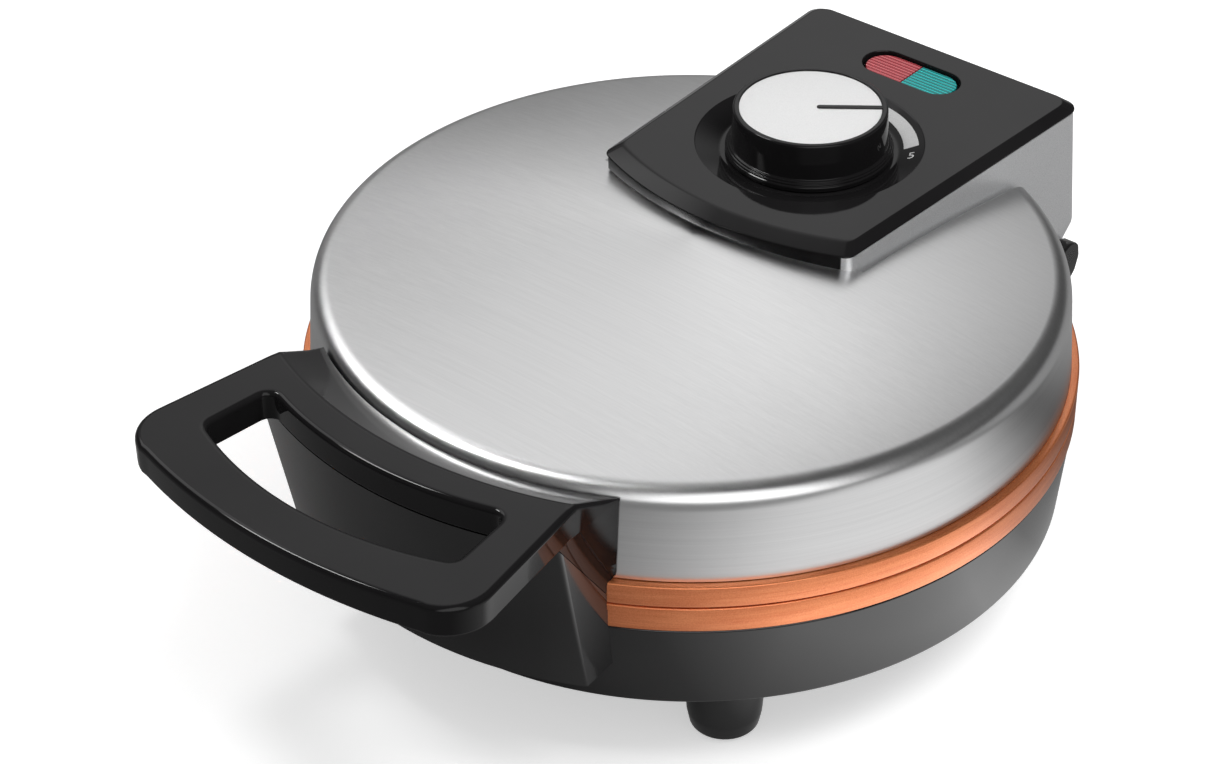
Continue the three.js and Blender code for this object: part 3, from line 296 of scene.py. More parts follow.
def wedge_outline(z, grow, steps=8):
    """The wedge's outline behind its bowed front, where it stands in the lid's slot."""
    rear, lean = wedge_rear_and_lean(z, grow)
    front = wedge_front - grow
    return ease([
        (-foot_half(front) - lean, front),
        (foot_half(front) + lean, front),
        (foot_half(rear) + lean, rear, wedge_corner + grow),
        (-foot_half(rear) - lean, rear, wedge_corner + grow),
    ], steps)


def new_node(tree, kind, inputs=None, **settings):
    node = tree.nodes.new(kind)
    for name, value in settings.items():
        setattr(node, name, value)
    for name, value in (inputs or {}).items():
        socket = node.inputs[name]
        if isinstance(value, bpy.types.NodeSocket):
            tree.links.new(value, socket)
        else:
            socket.default_value = value
    return node


def new_group(name, inputs, outputs, family="Shader"):
    """An empty node group with named sockets, its inputs given as (name, kind, value)."""
    tree = bpy.data.node_groups.new(name, family + "NodeTree")
    for label, kind, value in inputs:
        socket = tree.interface.new_socket(label, in_out="INPUT", socket_type="NodeSocket" + kind)
        if value is not None:
            socket.default_value = value
    for label, kind in outputs:
        tree.interface.new_socket(label, in_out="OUTPUT", socket_type="NodeSocket" + kind)
    return tree, tree.nodes.new("NodeGroupInput"), tree.nodes.new("NodeGroupOutput")


def math_node(tree, operation, first, *others):
    """One operation on a value, or a chain of it over several values."""
    for value in others or (None,):
        inputs = {0: first} if value is None else {0: first, 1: value}
        first = new_node(tree, "ShaderNodeMath", inputs, operation=operation).outputs[0]
    return first


def ramp(tree, value, low, high, to_low=0.0, to_high=1.0, shape="LINEAR"):
    return new_node(tree, "ShaderNodeMapRange", {
        "Value": value, "From Min": low, "From Max": high, "To Min": to_low, "To Max": to_high,
    }, interpolation_type=shape).outputs["Result"]


def tint(tree, share, low, high):
    """A colour between two, by a value that changes over the surface."""
    return new_node(tree, "ShaderNodeMix", {
        "Factor": share, 6: (*low, 1), 7: (*high, 1)}, data_type="RGBA").outputs[2]


def noise(tree, place, scale, detail):
    return new_node(tree, "ShaderNodeTexNoise", {
        "Vector": place, "Scale": scale, "Detail": detail}).outputs["Fac"]


# Brush lines: long fine scratches along the first coordinate, in two sizes.
brush_lines, given, result = new_group(
    "brush_lines",
    [("Vector", "Vector", None), ("Length", "Float", 0.03), ("Pitch", "Float", 0.0004)],
    [("Lines", "Float"), ("Clouds", "Float")],
)
parts = new_node(brush_lines, "ShaderNodeSeparateXYZ", {"Vector": given.outputs["Vector"]}).outputs
stretched = new_node(brush_lines, "ShaderNodeCombineXYZ", {
    axis: math_node(brush_lines, "DIVIDE", parts[axis], given.outputs[unit])
    for axis, unit in enumerate(("Length", "Pitch", "Pitch"))})
fine = new_node(brush_lines, "ShaderNodeTexNoise", {
    "Vector": stretched.outputs[0], "Scale": 1.0, "Detail": 2.0, "Roughness": 0.6})
wider = new_node(brush_lines, "ShaderNodeVectorMath", {
    0: stretched.outputs[0], 1: (0.6, 0.22, 0.22)}, operation="MULTIPLY")
both = math_node(brush_lines, "ADD", fine.outputs["Fac"],
                 noise(brush_lines, wider.outputs[0], 1.0, 1.0))
brush_lines.links.new(math_node(brush_lines, "MULTIPLY", both, 0.5), result.inputs["Lines"])
brush_lines.links.new(
    noise(brush_lines, given.outputs["Vector"], 14.0, 3.0), result.inputs["Clouds"])

# Turned coordinates: length round the body's axis, height and radius, from plain ones.
turned, given, result = new_group(
    "turned_coordinates", [("Vector", "Vector", None)], [("Vector", "Vector")])
parts = new_node(turned, "ShaderNodeSeparateXYZ", {"Vector": given.outputs["Vector"]}).outputs
angle = math_node(turned, "ARCTAN2", parts[0], math_node(turned, "MULTIPLY", parts[1], -1.0))
squares = math_node(turned, "ADD", math_node(turned, "POWER", parts[0], 2.0),
                    math_node(turned, "POWER", parts[1], 2.0))
turned.links.new(new_node(turned, "ShaderNodeCombineXYZ", {
    "X": math_node(turned, "MULTIPLY", angle, shoulder_radius / 1000), "Y": parts[2],
    "Z": math_node(turned, "SQRT", squares)}).outputs[0], result.inputs["Vector"])


def new_finish(name, metallic=0.0, coat=0.0, specular=0.5, centre=(0, axis_shift / 1000, 0)):
    """A material with its shader, and Object coordinates counted from a centre."""
    material = bpy.data.materials.new(name)
    material.use_nodes = True
    tree = material.node_tree
    shader = tree.nodes["Principled BSDF"]
    shader.inputs["Metallic"].default_value = metallic
    shader.inputs["Coat Weight"].default_value = coat
    shader.inputs["Specular IOR Level"].default_value = specular
    coordinates = tree.nodes.new("ShaderNodeTexCoord")
    centred = new_node(tree, "ShaderNodeMapping", {
        "Vector": coordinates.outputs["Object"],
        "Location": tuple(-value for value in centre),
    })
    return material, tree, shader, centred.outputs[0]


def surface(tree, shader, shade, dark, pale, gloss, relief=None):
    """Colour by a shade, roughness by a gloss and a bump by a relief, each led by its value."""
    tree.links.new(tint(tree, ramp(tree, *shade), dark, pale), shader.inputs["Base Color"])
    tree.links.new(ramp(tree, *gloss), shader.inputs["Roughness"])
    if relief:
        height, strength, distance = relief
        tree.links.new(new_node(tree, "ShaderNodeBump", {
            "Height": height, "Strength": strength, "Distance": distance,
        }).outputs["Normal"], shader.inputs["Normal"])


def use(tree, group, **inputs):
    return new_node(tree, "ShaderNodeGroup", inputs, node_tree=group).outputs


lid_steel, tree, shader, place = new_finish("brushed_lid_steel", metallic=1.0)
straight = use(tree, brush_lines, Vector=place, Length=0.030, Pitch=0.00022)
circling = use(tree, brush_lines, Vector=use(tree, turned, Vector=place)[0],
               Length=0.04, Pitch=0.0003)
height = new_node(tree, "ShaderNodeSeparateXYZ", {"Vector": place}).outputs[2]
on_wall = ramp(tree, height, (shoulder_z - 1.5) / 1000, (shoulder_z - 5) / 1000)
lines = new_node(tree, "ShaderNodeMix", {
    "Factor": on_wall, 2: straight["Lines"], 3: circling["Lines"]}, data_type="FLOAT").outputs[0]
blend = math_node(tree, "ADD", lines, math_node(tree, "MULTIPLY", straight["Clouds"], 0.5))
surface(tree, shader, (lines, 0.3, 0.7), (0.62, 0.62, 0.622), (0.69, 0.69, 0.692),
        (blend, 0.45, 1.0, 0.29, 0.35), (lines, 0.05, 0.00003))
shader.inputs["Anisotropic"].default_value = 0.5

steel = piece("steel_lid_cover", spin(
    lid_outline(0) + list(reversed(lid_outline(steel_sheet)))), lid_steel)
slot = bmesh.new()
slot_outline = wedge_outline(slot_floor, slot_gap + slot_round)
skin(slot, [at_height(slot_outline, z) for z in (slot_floor, dome_top + 6)])
cut_with(steel, tool("slot", slot))
smooth_where_flat(steel)
even_normals(steel)

# The slot's edge: the sheet rolls over and stands down a little way, along both sides
edge_strip = bmesh.new()
slot_lean = wedge_side_lean * (panel_foot_z - slot_floor) / (wedge_height - wedge_chamfer)
strip_first = wedge_front - slot_gap - slot_round
strip_last = 104.0
for side in (-1, 1):
    loops = []
    for i in range(61):
        y = strip_first + (strip_last - strip_first) * i / 60
        x = foot_half(y) + slot_lean + slot_gap
        radius = math.hypot(x + slot_round, y)
        if radius > steel_radius(shoulder_z - 6):
            break
        z = lid_height(radius) - 0.02
        section = []
        for step in range(7):
            a = math.radians(90 * step / 6)
            section.append((x + slot_round * (1 - math.sin(a)), z - slot_round * (1 - math.cos(a))))
        section += [
            (x, z - slot_round - slot_flange), (x + steel_sheet, z - slot_round - slot_flange),
            (x + steel_sheet, z - slot_round * 1.2), (x + slot_round * 1.5, z - steel_sheet * 0.8),
            (x + slot_round * 1.5, z - steel_sheet * 0.4),
            (x + slot_round * 1.02, z - steel_sheet * 0.2),
        ]
        loops.append([(side * px, y, pz) for px, pz in section])
    skin(edge_strip, loops)
strip = piece("slot_edge", edge_strip, lid_steel, 50)
for thing, nodes in ((steel, ("lid_cover",)), (strip, ())):
    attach(thing, "lid")
    if nodes:
        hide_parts(*nodes)


# Copper trim bands.
# Two rolled bands with a copper-coloured metallic finish and a fine turned grain. One is
# pressed round the base's rim and the other round the foot of the lid, and they close on
# each other along a thin dark seam. The lid's band is open behind for the hinge.
band_radius = 116.0
band_back = 112.5
band_round = 0.55
base_band_levels = (51.0, 59.0)
lid_band_levels = (59.4, 66.4)
band_opening = math.degrees(math.asin(48.3 / band_radius))


def band_profile(low, high):
    return ease([
        (band_back, low), (band_radius, low, band_round),
        (band_radius, high, band_round), (band_back, high),
    ], 4)


copper, tree, shader, place = new_finish("copper_trim", metallic=0.75, coat=0.35)
grain = use(tree, brush_lines, Vector=use(tree, turned, Vector=place)[0],
            Length=0.012, Pitch=0.00035)
mixed = math_node(tree, "ADD", math_node(tree, "MULTIPLY", grain["Lines"], 0.6),
                  math_node(tree, "MULTIPLY", noise(tree, place, 2600.0, 2.0), 0.4))
surface(tree, shader, (mixed, 0.36, 0.64), (0.70, 0.185, 0.062), (0.90, 0.315, 0.125),
        (grain["Clouds"], 0.3, 0.7, 0.34, 0.46), (mixed, 0.25, 0.00006))

base_band = piece("base_trim_band", spin(band_profile(*base_band_levels)), copper)
lid_band = piece("lid_trim_band", spin(
    band_profile(*lid_band_levels), arc=(90 + band_opening, 450 - band_opening)), copper)
for thing, body, node in ((base_band, "base", "base_band"), (lid_band, "lid", "lid_band")):
    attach(thing, body)
    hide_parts(node)


# Base housing.
# One black moulding: a round bowl with an open bottom, a hollow apron under the handle and
# two hinge ears behind. Its outside is polished, with small rounded edges.
base_foot_z = 22.0
base_rim_z = 50.7
base_foot_radius = 112.9
base_rim_radius = 115.5
base_wall = 2.5
seam_z = 59.2
handle_bottom = 91.9
handle_top = 101.3
handle_root_half = 53.8
handle_root_front = 97.2
handle_taper = 0.084
apron_low_z = 36.5
apron_top_z = 91.6
apron_wall = 2.4
parting_front = 123.6
parting_slope = 1.407
hinge_y = 119.0
eye_radius = 7.0
ear_inner = foot_half(hinge_y + eye_radius) + wedge_side_lean + 0.7
ear_width = 5.0

# Moulded grain: what makes one polished surface differ from place to place.
mould_grain, given, result = new_group(
    "mould_grain",
    [("Vector", "Vector", None), ("Grain", "Float", 900.0), ("Waves", "Float", 30.0)],
    [("Height", "Float"), ("Haze", "Float")],
)
mould_grain.links.new(
    noise(mould_grain, given.outputs["Vector"], given.outputs["Grain"], 3.0),
    result.inputs["Height"])
mould_grain.links.new(
    noise(mould_grain, given.outputs["Vector"], given.outputs["Waves"], 3.0),
    result.inputs["Haze"])


def moulded(name, dark, pale, smooth, rough, grain_height, grain_size=900.0, **settings):
    """A moulded plastic, between two colours and two roughnesses, with a fine grain."""
    material, tree, shader, place = new_finish(name, **settings)
    grain = use(tree, mould_grain, Vector=place, Grain=grain_size)
    mixed = math_node(tree, "ADD", math_node(tree, "MULTIPLY", grain["Haze"], 0.7),
                      math_node(tree, "MULTIPLY", grain["Height"], 0.3))
    surface(tree, shader, (grain["Haze"], 0.35, 0.65), dark, pale,
            (mixed, 0.35, 0.65, smooth, rough), (grain["Height"], grain_height, 0.00004))
    return material


black_moulding = moulded(
    "black_moulding", (0.010, 0.0095, 0.010), (0.013, 0.0125, 0.013), 0.07, 0.12, 0.02,
    specular=0.5)


def bow_line(reach, radius, half, steps):
    points = []
    for i in range(steps + 1):
        x = half * (2 * i / steps - 1)
        points.append((x, radius - reach - math.sqrt(radius ** 2 - x ** 2)))
    return points


def bow_corner(reach, radius, side_at):
    y = -reach
    for _ in range(14):
        y = radius - reach - math.sqrt(radius ** 2 - side_at(y) ** 2)
    return side_at(y), y


def bowed_outline(
    reach, radius, side_at, front_round, rear_y, rear_round=0, steps=24, ease_steps=10
):
    """An outline with a bowed front, straight sides and rounded corners."""
    x, y = bow_corner(reach, radius, side_at)
    rear_x = side_at(rear_y)
    corners = [(-x, y, front_round)]
    corners += bow_line(reach, radius, x - front_round * 1.15, steps)
    corners += [(x, y, front_round), (rear_x, rear_y, rear_round), (-rear_x, rear_y, rear_round)]
    return ease(corners, ease_steps)


def root_side(y):
    return handle_root_half + (-y - handle_root_front) * handle_taper


def between(loop_a, loop_b, t, z):
    return [(a[0] + (b[0] - a[0]) * t, a[1] + (b[1] - a[1]) * t, z) for a, b in zip(loop_a, loop_b)]


def apron_loops(inset, levels, rear_y=-96.0):
    top = bowed_outline(136.5 - inset, 125 - inset, lambda y: root_side(y) - inset, 1.6, rear_y)
    low = bowed_outline(126.6 - inset, 115 - inset, lambda y: root_side(y) - inset, 1.0, rear_y)
    rise = apron_top_z - apron_low_z
    return [between(low, top, (z - apron_low_z) / rise, z) for z in levels]


def above_parting(drop, half):
    """Everything over the slanted line where the apron and the lid's cheeks part."""
    run = 30.0
    outline = [
        (-parting_front, handle_bottom - drop),
        (-parting_front + run, handle_bottom - drop - run * parting_slope),
        (-parting_front + run, 110.0), (-parting_front, 110.0),
    ]
    bm = bmesh.new()
    skin(bm, [[(x, y, z) for y, z in outline] for x in (-half, half)])
    return bm


def core(radius, low, high, sides):
    return spin([(0, low), (radius, low), (radius, high), (0, high)], sides)


def small_bevel(thing, width, segments=2, angle=40):
    modifier = thing.modifiers.new("small_bevel", "BEVEL")
    modifier.width = width / 1000
    modifier.segments = segments
    modifier.limit_method = "ANGLE"
    modifier.angle_limit = math.radians(angle)
    modifier.use_clamp_overlap = True
    modifier.miter_outer = "MITER_ARC"
    return bake(thing)


bowl = spin(ease([
    (base_foot_radius - base_wall, base_foot_z, 0.5), (base_foot_radius, base_foot_z, 1.6),
    (base_rim_radius, base_rim_z, 0.7), (base_rim_radius - base_wall, base_rim_z, 0.4),
], 5))
bowl_piece = piece("base_bowl", bowl, black_moulding)
even_normals(bowl_piece)

parting_gap = 0.3
apron_step_z = 57.0
apron_inner_radius = 113.4
cut_half = 120
cut_top_z = 110
apron_form = bmesh.new()
skin(apron_form, apron_loops(0, (apron_low_z, 50.0, 64.0, 78.0, apron_top_z)))
apron = piece("base_apron", apron_form, black_moulding)
hollow_form = bmesh.new()
skin(hollow_form, apron_loops(apron_wall, (apron_low_z - 3, apron_top_z - apron_wall)))
hollow = tool("hollow", hollow_form)
cut_with(hollow, tool("over", above_parting(parting_gap + apron_wall, cut_half)),
         tool("round_back", core(band_radius + 2.7, 0, cut_top_z, 96)))
cut_with(apron, hollow, tool("over", above_parting(parting_gap, cut_half)),
         tool("room_for_lid", core(band_radius + 0.35, apron_step_z, cut_top_z, 192)),
         tool("inside", core(apron_inner_radius, 0, apron_step_z, 192)))
small_bevel(apron, 0.35, 2, 38)
smooth_where_flat(apron, 30)
even_normals(apron)


def side_plates(outline, xs, middle, pull):
    """A (y, z) plate on each side, its two faces drawn in a little towards its middle."""
    bm = bmesh.new()
    for side in (-1, 1):
        skin(bm, [
            [(side * x, middle[0] + (y - middle[0]) * k, middle[1] + (z - middle[1]) * k)
             for y, z in outline]
            for x, k in zip(xs, (pull, 1.0, 1.0, pull))])
    return bm


ear_outline = ease([
    (102.0, base_rim_z - 0.3), (102.0, base_rim_z - 14), (hinge_y - 15, base_rim_z - 14, 2),
    (hinge_y + 3.4, seam_z - 6.4, 3), (hinge_y + 5.2, seam_z - 1.6, 2.5),
    (hinge_y + 4.3, seam_z + 3.4, 2.6), (hinge_y, seam_z + 5.0, 3),
    (hinge_y - 4.4, seam_z + 3.6, 2.6), (hinge_y - 7.0, base_rim_z - 0.3, 0.2),
], 6)
ear_middle = Vector([sum(p[i] for p in ear_outline) for i in (0, 1)]) / len(ear_outline)
ear_piece = piece("hinge_ears", side_plates(
    ear_outline, (ear_inner, ear_inner + 0.5, ear_inner + ear_width - 0.5,
                  ear_inner + ear_width), ear_middle, 0.975), black_moulding, 50)
for thing in (bowl_piece, apron, ear_piece):
    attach(thing, "base")
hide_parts("base_housing")


# Feet and their pads.
# Four tapered round feet, moulded in black and screwed up from below at the diagonals,
# each with a rubber pad let into its end.
foot_circle = 96.0
foot_height = 22.0
foot_names = [f"foot_{i}" for i in (1, 2, 3, 4)]
pad_names = [f"foot_pad_{i}" for i in (1, 2, 3, 4)]

def copies_on(tree, points, given, result):
    """Copies of the given shape on points about a centre, made real, in the given finish."""
    moved = new_node(tree, "GeometryNodeTransform", {
        "Geometry": points, "Translation": given.outputs["Centre"]})
    copies = new_node(tree, "GeometryNodeInstanceOnPoints", {
        "Points": moved.outputs["Geometry"], "Instance": given.outputs["Geometry"]})
    real = new_node(tree, "GeometryNodeRealizeInstances", {
        "Geometry": copies.outputs["Instances"]})
    coloured = new_node(tree, "GeometryNodeSetMaterial", {
        "Geometry": real.outputs["Geometry"], "Material": given.outputs["Finish"]})
    tree.links.new(coloured.outputs["Geometry"], result.inputs["Geometry"])
    return moved


# Copies of one shape on a regular ring of places.
ring_of_copies, given, result = new_group("ring_of_copies", [
    ("Geometry", "Geometry", None), ("Count", "Int", 4), ("Circle", "Float", 0.09),
    ("First Angle", "Float", 0.0), ("Centre", "Vector", (0, 0, 0)), ("Finish", "Material", None),
], [("Geometry", "Geometry")], "Geometry")
circle = new_node(ring_of_copies, "GeometryNodeMeshCircle", {
    "Vertices": given.outputs["Count"], "Radius": given.outputs["Circle"]})
turn = new_node(ring_of_copies, "ShaderNodeCombineXYZ", {"Z": given.outputs["First Angle"]})
moved = copies_on(ring_of_copies, circle.outputs["Mesh"], given, result)
ring_of_copies.links.new(turn.outputs[0], moved.inputs["Rotation"])


def grow_tree(thing, tree, **values):
    """Runs a geometry tree on an object with these inputs and keeps the plain mesh."""
    modifier = thing.modifiers.new(tree.name, "NODES")
    modifier.node_group = tree
    for item in tree.interface.items_tree:
        key = item.name.lower().replace(" ", "_")
        if item.in_out == "INPUT" and key in values:
            modifier[item.identifier] = values[key]
    return bake(thing)


def about_origin(bm, name, crease=32):
    """A mesh about its own upright axis at the origin, for a geometry tree to copy."""
    mesh = mesh_from(bm, name, crease)
    mesh.transform(Matrix.Translation((0, -axis_shift / 1000, 0)))
    return mesh


def ring(name, profile, finish, count, circle, first):
    """Turned shapes on a circle, as one piece."""
    thing = piece(name, about_origin(spin(profile, 40), name), finish)
    return grow_tree(
        thing, ring_of_copies, count=count, circle=circle / 1000, first_angle=math.radians(first),
        centre=(0, axis_shift / 1000, 0), finish=finish)


pad_rubber = moulded(
    "pad_rubber", (0.012, 0.012, 0.012), (0.022, 0.022, 0.021), 0.62, 0.8, 0.3, 1500.0)
feet = ring("feet", ease([
    (0, 4.2), (8.7, 4.2), (8.7, 1.2, 0.2), (10.0, 1.2, 1.2), (10.9, 6.0, 8),
    (12.0, foot_height + 0.4), (0, foot_height + 0.4),
], 5), black_moulding, 4, foot_circle, 45)
pads = ring("foot_pads", ease([(0, 0), (8.4, 0, 0.6), (8.4, 3.9), (0, 3.9)], 4),
            pad_rubber, 4, foot_circle, 45)
for thing, nodes, slot in ((feet, foot_names, "black_plastic"), (pads, pad_names, "rubber")):
    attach(thing, "base")
    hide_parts(*nodes)


# Lid handle.
# A polished black moulding screwed to the front of the lid: a flat loop round a hand
# window, a hollow ramp that runs down to the steel, and a cheek under each end that
# closes against the apron.
handle_reach = 177.1
handle_bow = 190.0
handle_round = 14.0
kink_y = -115.0
front_taper = 0.158
window_front = (161.6, 115.0, 46.0)
window_rear = (136.8, 125.0, 43.5)
window_round = 3.5
ramp_edge = (126.7, 138.0)
ramp_end = 1.0
scoop_y = -115.8
scoop_z = 95.0
scoop_slope = 0.55
crease_ease = 0.9
rim_gap = 0.3
edge_round = 1.7
under_round = 0.9

polished_black = moulded(
    "polished_black", (0.0100, 0.0095, 0.0100), (0.0125, 0.0120, 0.0125), 0.035, 0.07, 0.012,
    specular=0.17)


def handle_side(y):
    front = max(-y + kink_y, 0)
    return handle_root_half + (-y - front - handle_root_front) * handle_taper + front * front_taper


def ramp_edge_y(x):
    reach, radius = ramp_edge
    return radius - reach - math.sqrt(radius ** 2 - x ** 2)


rim_radius = steel_radius(handle_bottom) + rim_gap


def ramp_foot_y(x):
    return -math.sqrt(rim_radius ** 2 - x ** 2)


def top_of_handle(x, y):
    """Height of the handle's top: flat, then straight down the ramp, eased at the crease."""
    start = ramp_edge_y(x)
    run = y - start
    length = ramp_foot_y(x) - start
    if run < crease_ease:
        run = max(0.0, run + crease_ease) ** 2 / (4 * crease_ease)
    return handle_top - (handle_top - handle_bottom - ramp_end) * min(1.0, run / length)


def scoop_crease(z):
    return scoop_y + (scoop_z - z) * scoop_slope


def root_flare(y, z):
    """How far the handle's end spreads sideways behind the slanted crease of its scoop."""
    crease = scoop_crease(z)
    rim = -math.sqrt(steel_radius(min(z, shoulder_z - 6)) ** 2 - handle_root_half ** 2)
    share = (y - crease) / max(1.0, rim - crease)
    return 1.1 * max(0.0, min(1.1, share)) ** 1.2 if rim > crease else 0.0


def sample_path(points, steps):
    """Evenly spaced points along a line of points."""
    lengths = [0.0]
    for a, b in zip(points, points[1:]):
        lengths.append(lengths[-1] + math.dist(a, b))
    out = []
    j = 0
    for i in range(steps + 1):
        goal = lengths[-1] * i / steps
        while j < len(points) - 2 and lengths[j + 1] < goal:
            j += 1
        span = lengths[j + 1] - lengths[j] or 1.0
        t = min(1.0, max(0.0, (goal - lengths[j]) / span))
        out.append(tuple(a + (b - a) * t for a, b in zip(points[j], points[j + 1])))
    return out


# The right half of the outer edge and of the window, in matching stretches
corner_x, corner_y = bow_corner(handle_reach, handle_bow, handle_side)
arc = [p for p in bow_line(handle_reach, handle_bow, corner_x, 400) if p[0] >= 0]
eased = ease(
    [arc[-12], (corner_x, corner_y, handle_round), (handle_side(-150.0), -150.0)], 16)[1:-1]
front_run = [p for p in arc if p[0] < eased[0][0]] + [eased[0]]
side_run = [eased[-1], (handle_side(kink_y), kink_y)]


def flared_side(y):
    return handle_side(y) + root_flare(y, handle_bottom)


root_y = -99.0
for _ in range(20):
    root_y = -math.sqrt(rim_radius ** 2 - flared_side(root_y) ** 2)
root_run = [(handle_side(kink_y), kink_y)]
for i in range(1, 13):
    y = kink_y + (root_y - kink_y) * i / 12
    root_run.append((flared_side(y), y))
root_angle = math.atan2(root_y, flared_side(root_y))
rim_run = [
    (rim_radius * math.cos(a), rim_radius * math.sin(a))
    for a in (root_angle + (-math.pi / 2 - root_angle) * i / 60 for i in range(61))
]


def window_arc(reach, radius, half):
    return [p for p in bow_line(reach, radius, half, 200) if p[0] >= 0]


win_front = window_arc(*window_front)
win_rear = window_arc(*window_rear)
front_ease = ease([win_front[-8], (*win_front[-1], window_round), win_rear[-1]], 8)[1:-1]
rear_ease = ease([win_front[-1], (*win_rear[-1], window_round), win_rear[-8]], 8)[1:-1]
win_front_run = [p for p in win_front if p[0] < front_ease[0][0]] + [front_ease[0]]
win_rear_run = [rear_ease[-1]] + [p for p in reversed(win_rear) if p[0] < rear_ease[-1][0]]
stretches = (
    (front_run, win_front_run, 22), (eased, front_ease, 12),
    (side_run, [front_ease[-1], rear_ease[0]], 12),
    (root_run, rear_ease, 12), (rim_run, win_rear_run, 36),
)
outer, inner = [], []
for outer_run, inner_run, steps in stretches:
    a = sample_path(outer_run, steps)
    b = sample_path(inner_run, steps)
    outer += a if not outer else a[1:]
    inner += b if not inner else b[1:]
outer += [(-x, y) for x, y in reversed(outer[1:-1])]
inner += [(-x, y) for x, y in reversed(inner[1:-1])]


def inward(points, towards):
    """Unit vectors square to a closed line of points, towards its partner line."""
    normals = []
    for i, point in enumerate(points):
        before = Vector(points[i - 1])
        after = Vector(points[(i + 1) % len(points)])
        line = (after - before).normalized()
        normal = Vector((-line.y, line.x))
        if normal.dot(Vector(towards[i]) - Vector(point)) < 0:
            normal.negate()
        normals.append(normal)
    return normals


outer_in = inward(outer, inner)
inner_in = inward(inner, outer)
quarter = [math.radians(90 * i / 5) for i in range(6)]
closing = list(reversed(quarter))


def eased_edge(corner, inwards, radius, angles, height, sign):
    """Points round a quarter of an edge's rounding, below or above a height."""
    points = []
    for a in angles:
        p = corner + inwards * radius * (1 - math.cos(a))
        points.append((p.x, p.y, height(p.x, p.y) + sign * radius * (1 - math.sin(a))))
    return points


def under(x, y):
    return handle_bottom


sections = []
for o, w, no, nw in zip(outer, inner, outer_in, inner_in):
    o, w = Vector(o), Vector(w)
    local_top = top_of_handle(*(o + no * 0.4))
    radius = min(edge_round, 0.42 * (local_top - handle_bottom))
    low = 0.02 if local_top < handle_top - 0.02 else under_round
    section = eased_edge(o, no, low, closing, under, 1)
    section += eased_edge(o, no, radius, quarter, top_of_handle, -1)
    start = o + no * radius
    end = w + nw * edge_round
    share = 0.03
    if start.y > ramp_edge_y(start.x):
        lo, share = 0.0, 1.0
        for _ in range(40):
            middle = (lo + share) / 2
            point = start.lerp(end, middle)
            if point.y > ramp_edge_y(point.x):
                lo = middle
            else:
                share = middle
    ease_share = min(0.45 * share, 0.45 * (1 - share), crease_ease / (end - start).length)
    stops = [(share - ease_share) * i / 6 for i in range(1, 7)]
    stops += [share + ease_share * (i / 4 - 1) for i in range(1, 9)]
    stops += [share + ease_share + (1 - share - ease_share) * t for t in (0.3, 0.6, 0.97)]
    for stop in stops:
        p = start.lerp(end, stop)
        section.append((p.x, p.y, top_of_handle(p.x, p.y)))
    section += eased_edge(w, nw, edge_round, closing, lambda x, y: handle_top, -1)
    section += eased_edge(w, nw, under_round, quarter, under, 1)
    sections.append(section)
loop_form = bmesh.new()
rows = [[loop_form.verts.new(point) for point in section] for section in sections]
for i, row in enumerate(rows):
    stitch(loop_form, row, rows[(i + 1) % len(rows)])
bmesh.ops.dissolve_degenerate(loop_form, edges=loop_form.edges, dist=1e-5)
handle = piece("handle_loop", loop_form, polished_black, 26)
even_normals(handle)

# Cheeks: upright walls under the handle's ends, down to the slanted parting line
cheek_wall = 5.2
cheek_foot_z = 63.3
cheek_step_z = 66.9
cheek_rise = handle_bottom + 0.2 - cheek_foot_z
cheek_inner = handle_root_half - cheek_wall
cheeks = bmesh.new()
for side in (-1, 1):
    outside, inside = [], []
    for z in (cheek_foot_z + cheek_rise * i / 24 for i in range(25)):
        start = -parting_front + (handle_bottom - z) / parting_slope
        radius = (band_radius if z < cheek_step_z else steel_radius(z)) + rim_gap
        row_out, row_in = [], []
        end = -math.sqrt(radius ** 2 - handle_side(-105) ** 2)
        crease = min(end - 0.2, max(start + 0.2, scoop_crease(z)))
        for j in range(15):
            y = (start + (crease - start) * j / 6 if j <= 6
                 else crease + (end - crease) * (j - 6) / 8)
            row_out.append((side * (root_side(y) + root_flare(y, z)), y, z))
            inner_end = -math.sqrt(radius ** 2 - cheek_inner ** 2)
            row_in.append((side * cheek_inner, start + (inner_end - start) * j / 14, z))
        outside.append(row_out)
        inside.append(row_in)
    skin(cheeks, [a + list(reversed(b)) for a, b in zip(outside, inside)])
cheek_piece = piece("handle_cheeks", cheeks, polished_black, 2.2)
flange_half = 50.5
flange_low_z = 70.0
flange_top_z = handle_bottom + 0.5
flange_radius = steel_foot_radius + 2.4
flange_angle = math.degrees(math.asin(flange_half / steel_foot_radius))
flange = piece("handle_flange", spin([
    (steel_radius(flange_low_z) + rim_gap, flange_low_z), (flange_radius, flange_low_z),
    (flange_radius, flange_top_z), (steel_radius(handle_bottom) + rim_gap, flange_top_z),
], 80, arc=(-90 - flange_angle, -90 + flange_angle)), polished_black)
for thing in (handle, cheek_piece, flange):
    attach(thing, "lid")
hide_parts("lid_handle")


# Control housing.
# A silver-painted moulding that rises through the lid's slot and drops behind it over the
# hinge. Its walls lean out a little, its front is bowed behind the panel's lip, its rear
# corners are rounded and its lower rear edge is cut back.
housing_top = panel_foot_z - 0.8
housing_wall = 2.2
housing_front = 6.1
housing_bow = 106.1
front_corner = 3.2
deck_z = 91.1


def housing_outline(z, grow):
    rear, lean = wedge_rear_and_lean(z, grow)
    return bowed_outline(
        grow - housing_front, housing_bow + grow, lambda y: foot_half(y) + lean,
        front_corner + grow, rear, wedge_corner + grow)


silver_paint, tree, shader, place = new_finish("silver_paint", metallic=0.55)
flakes = noise(tree, place, 3500.0, 2.0)
surface(tree, shader, (flakes, 0.35, 0.65), (0.70, 0.705, 0.715), (0.84, 0.845, 0.855),
        (noise(tree, place, 22.0, 3.0), 0.3, 0.7, 0.30, 0.40), (flakes, 0.08, 0.00004))

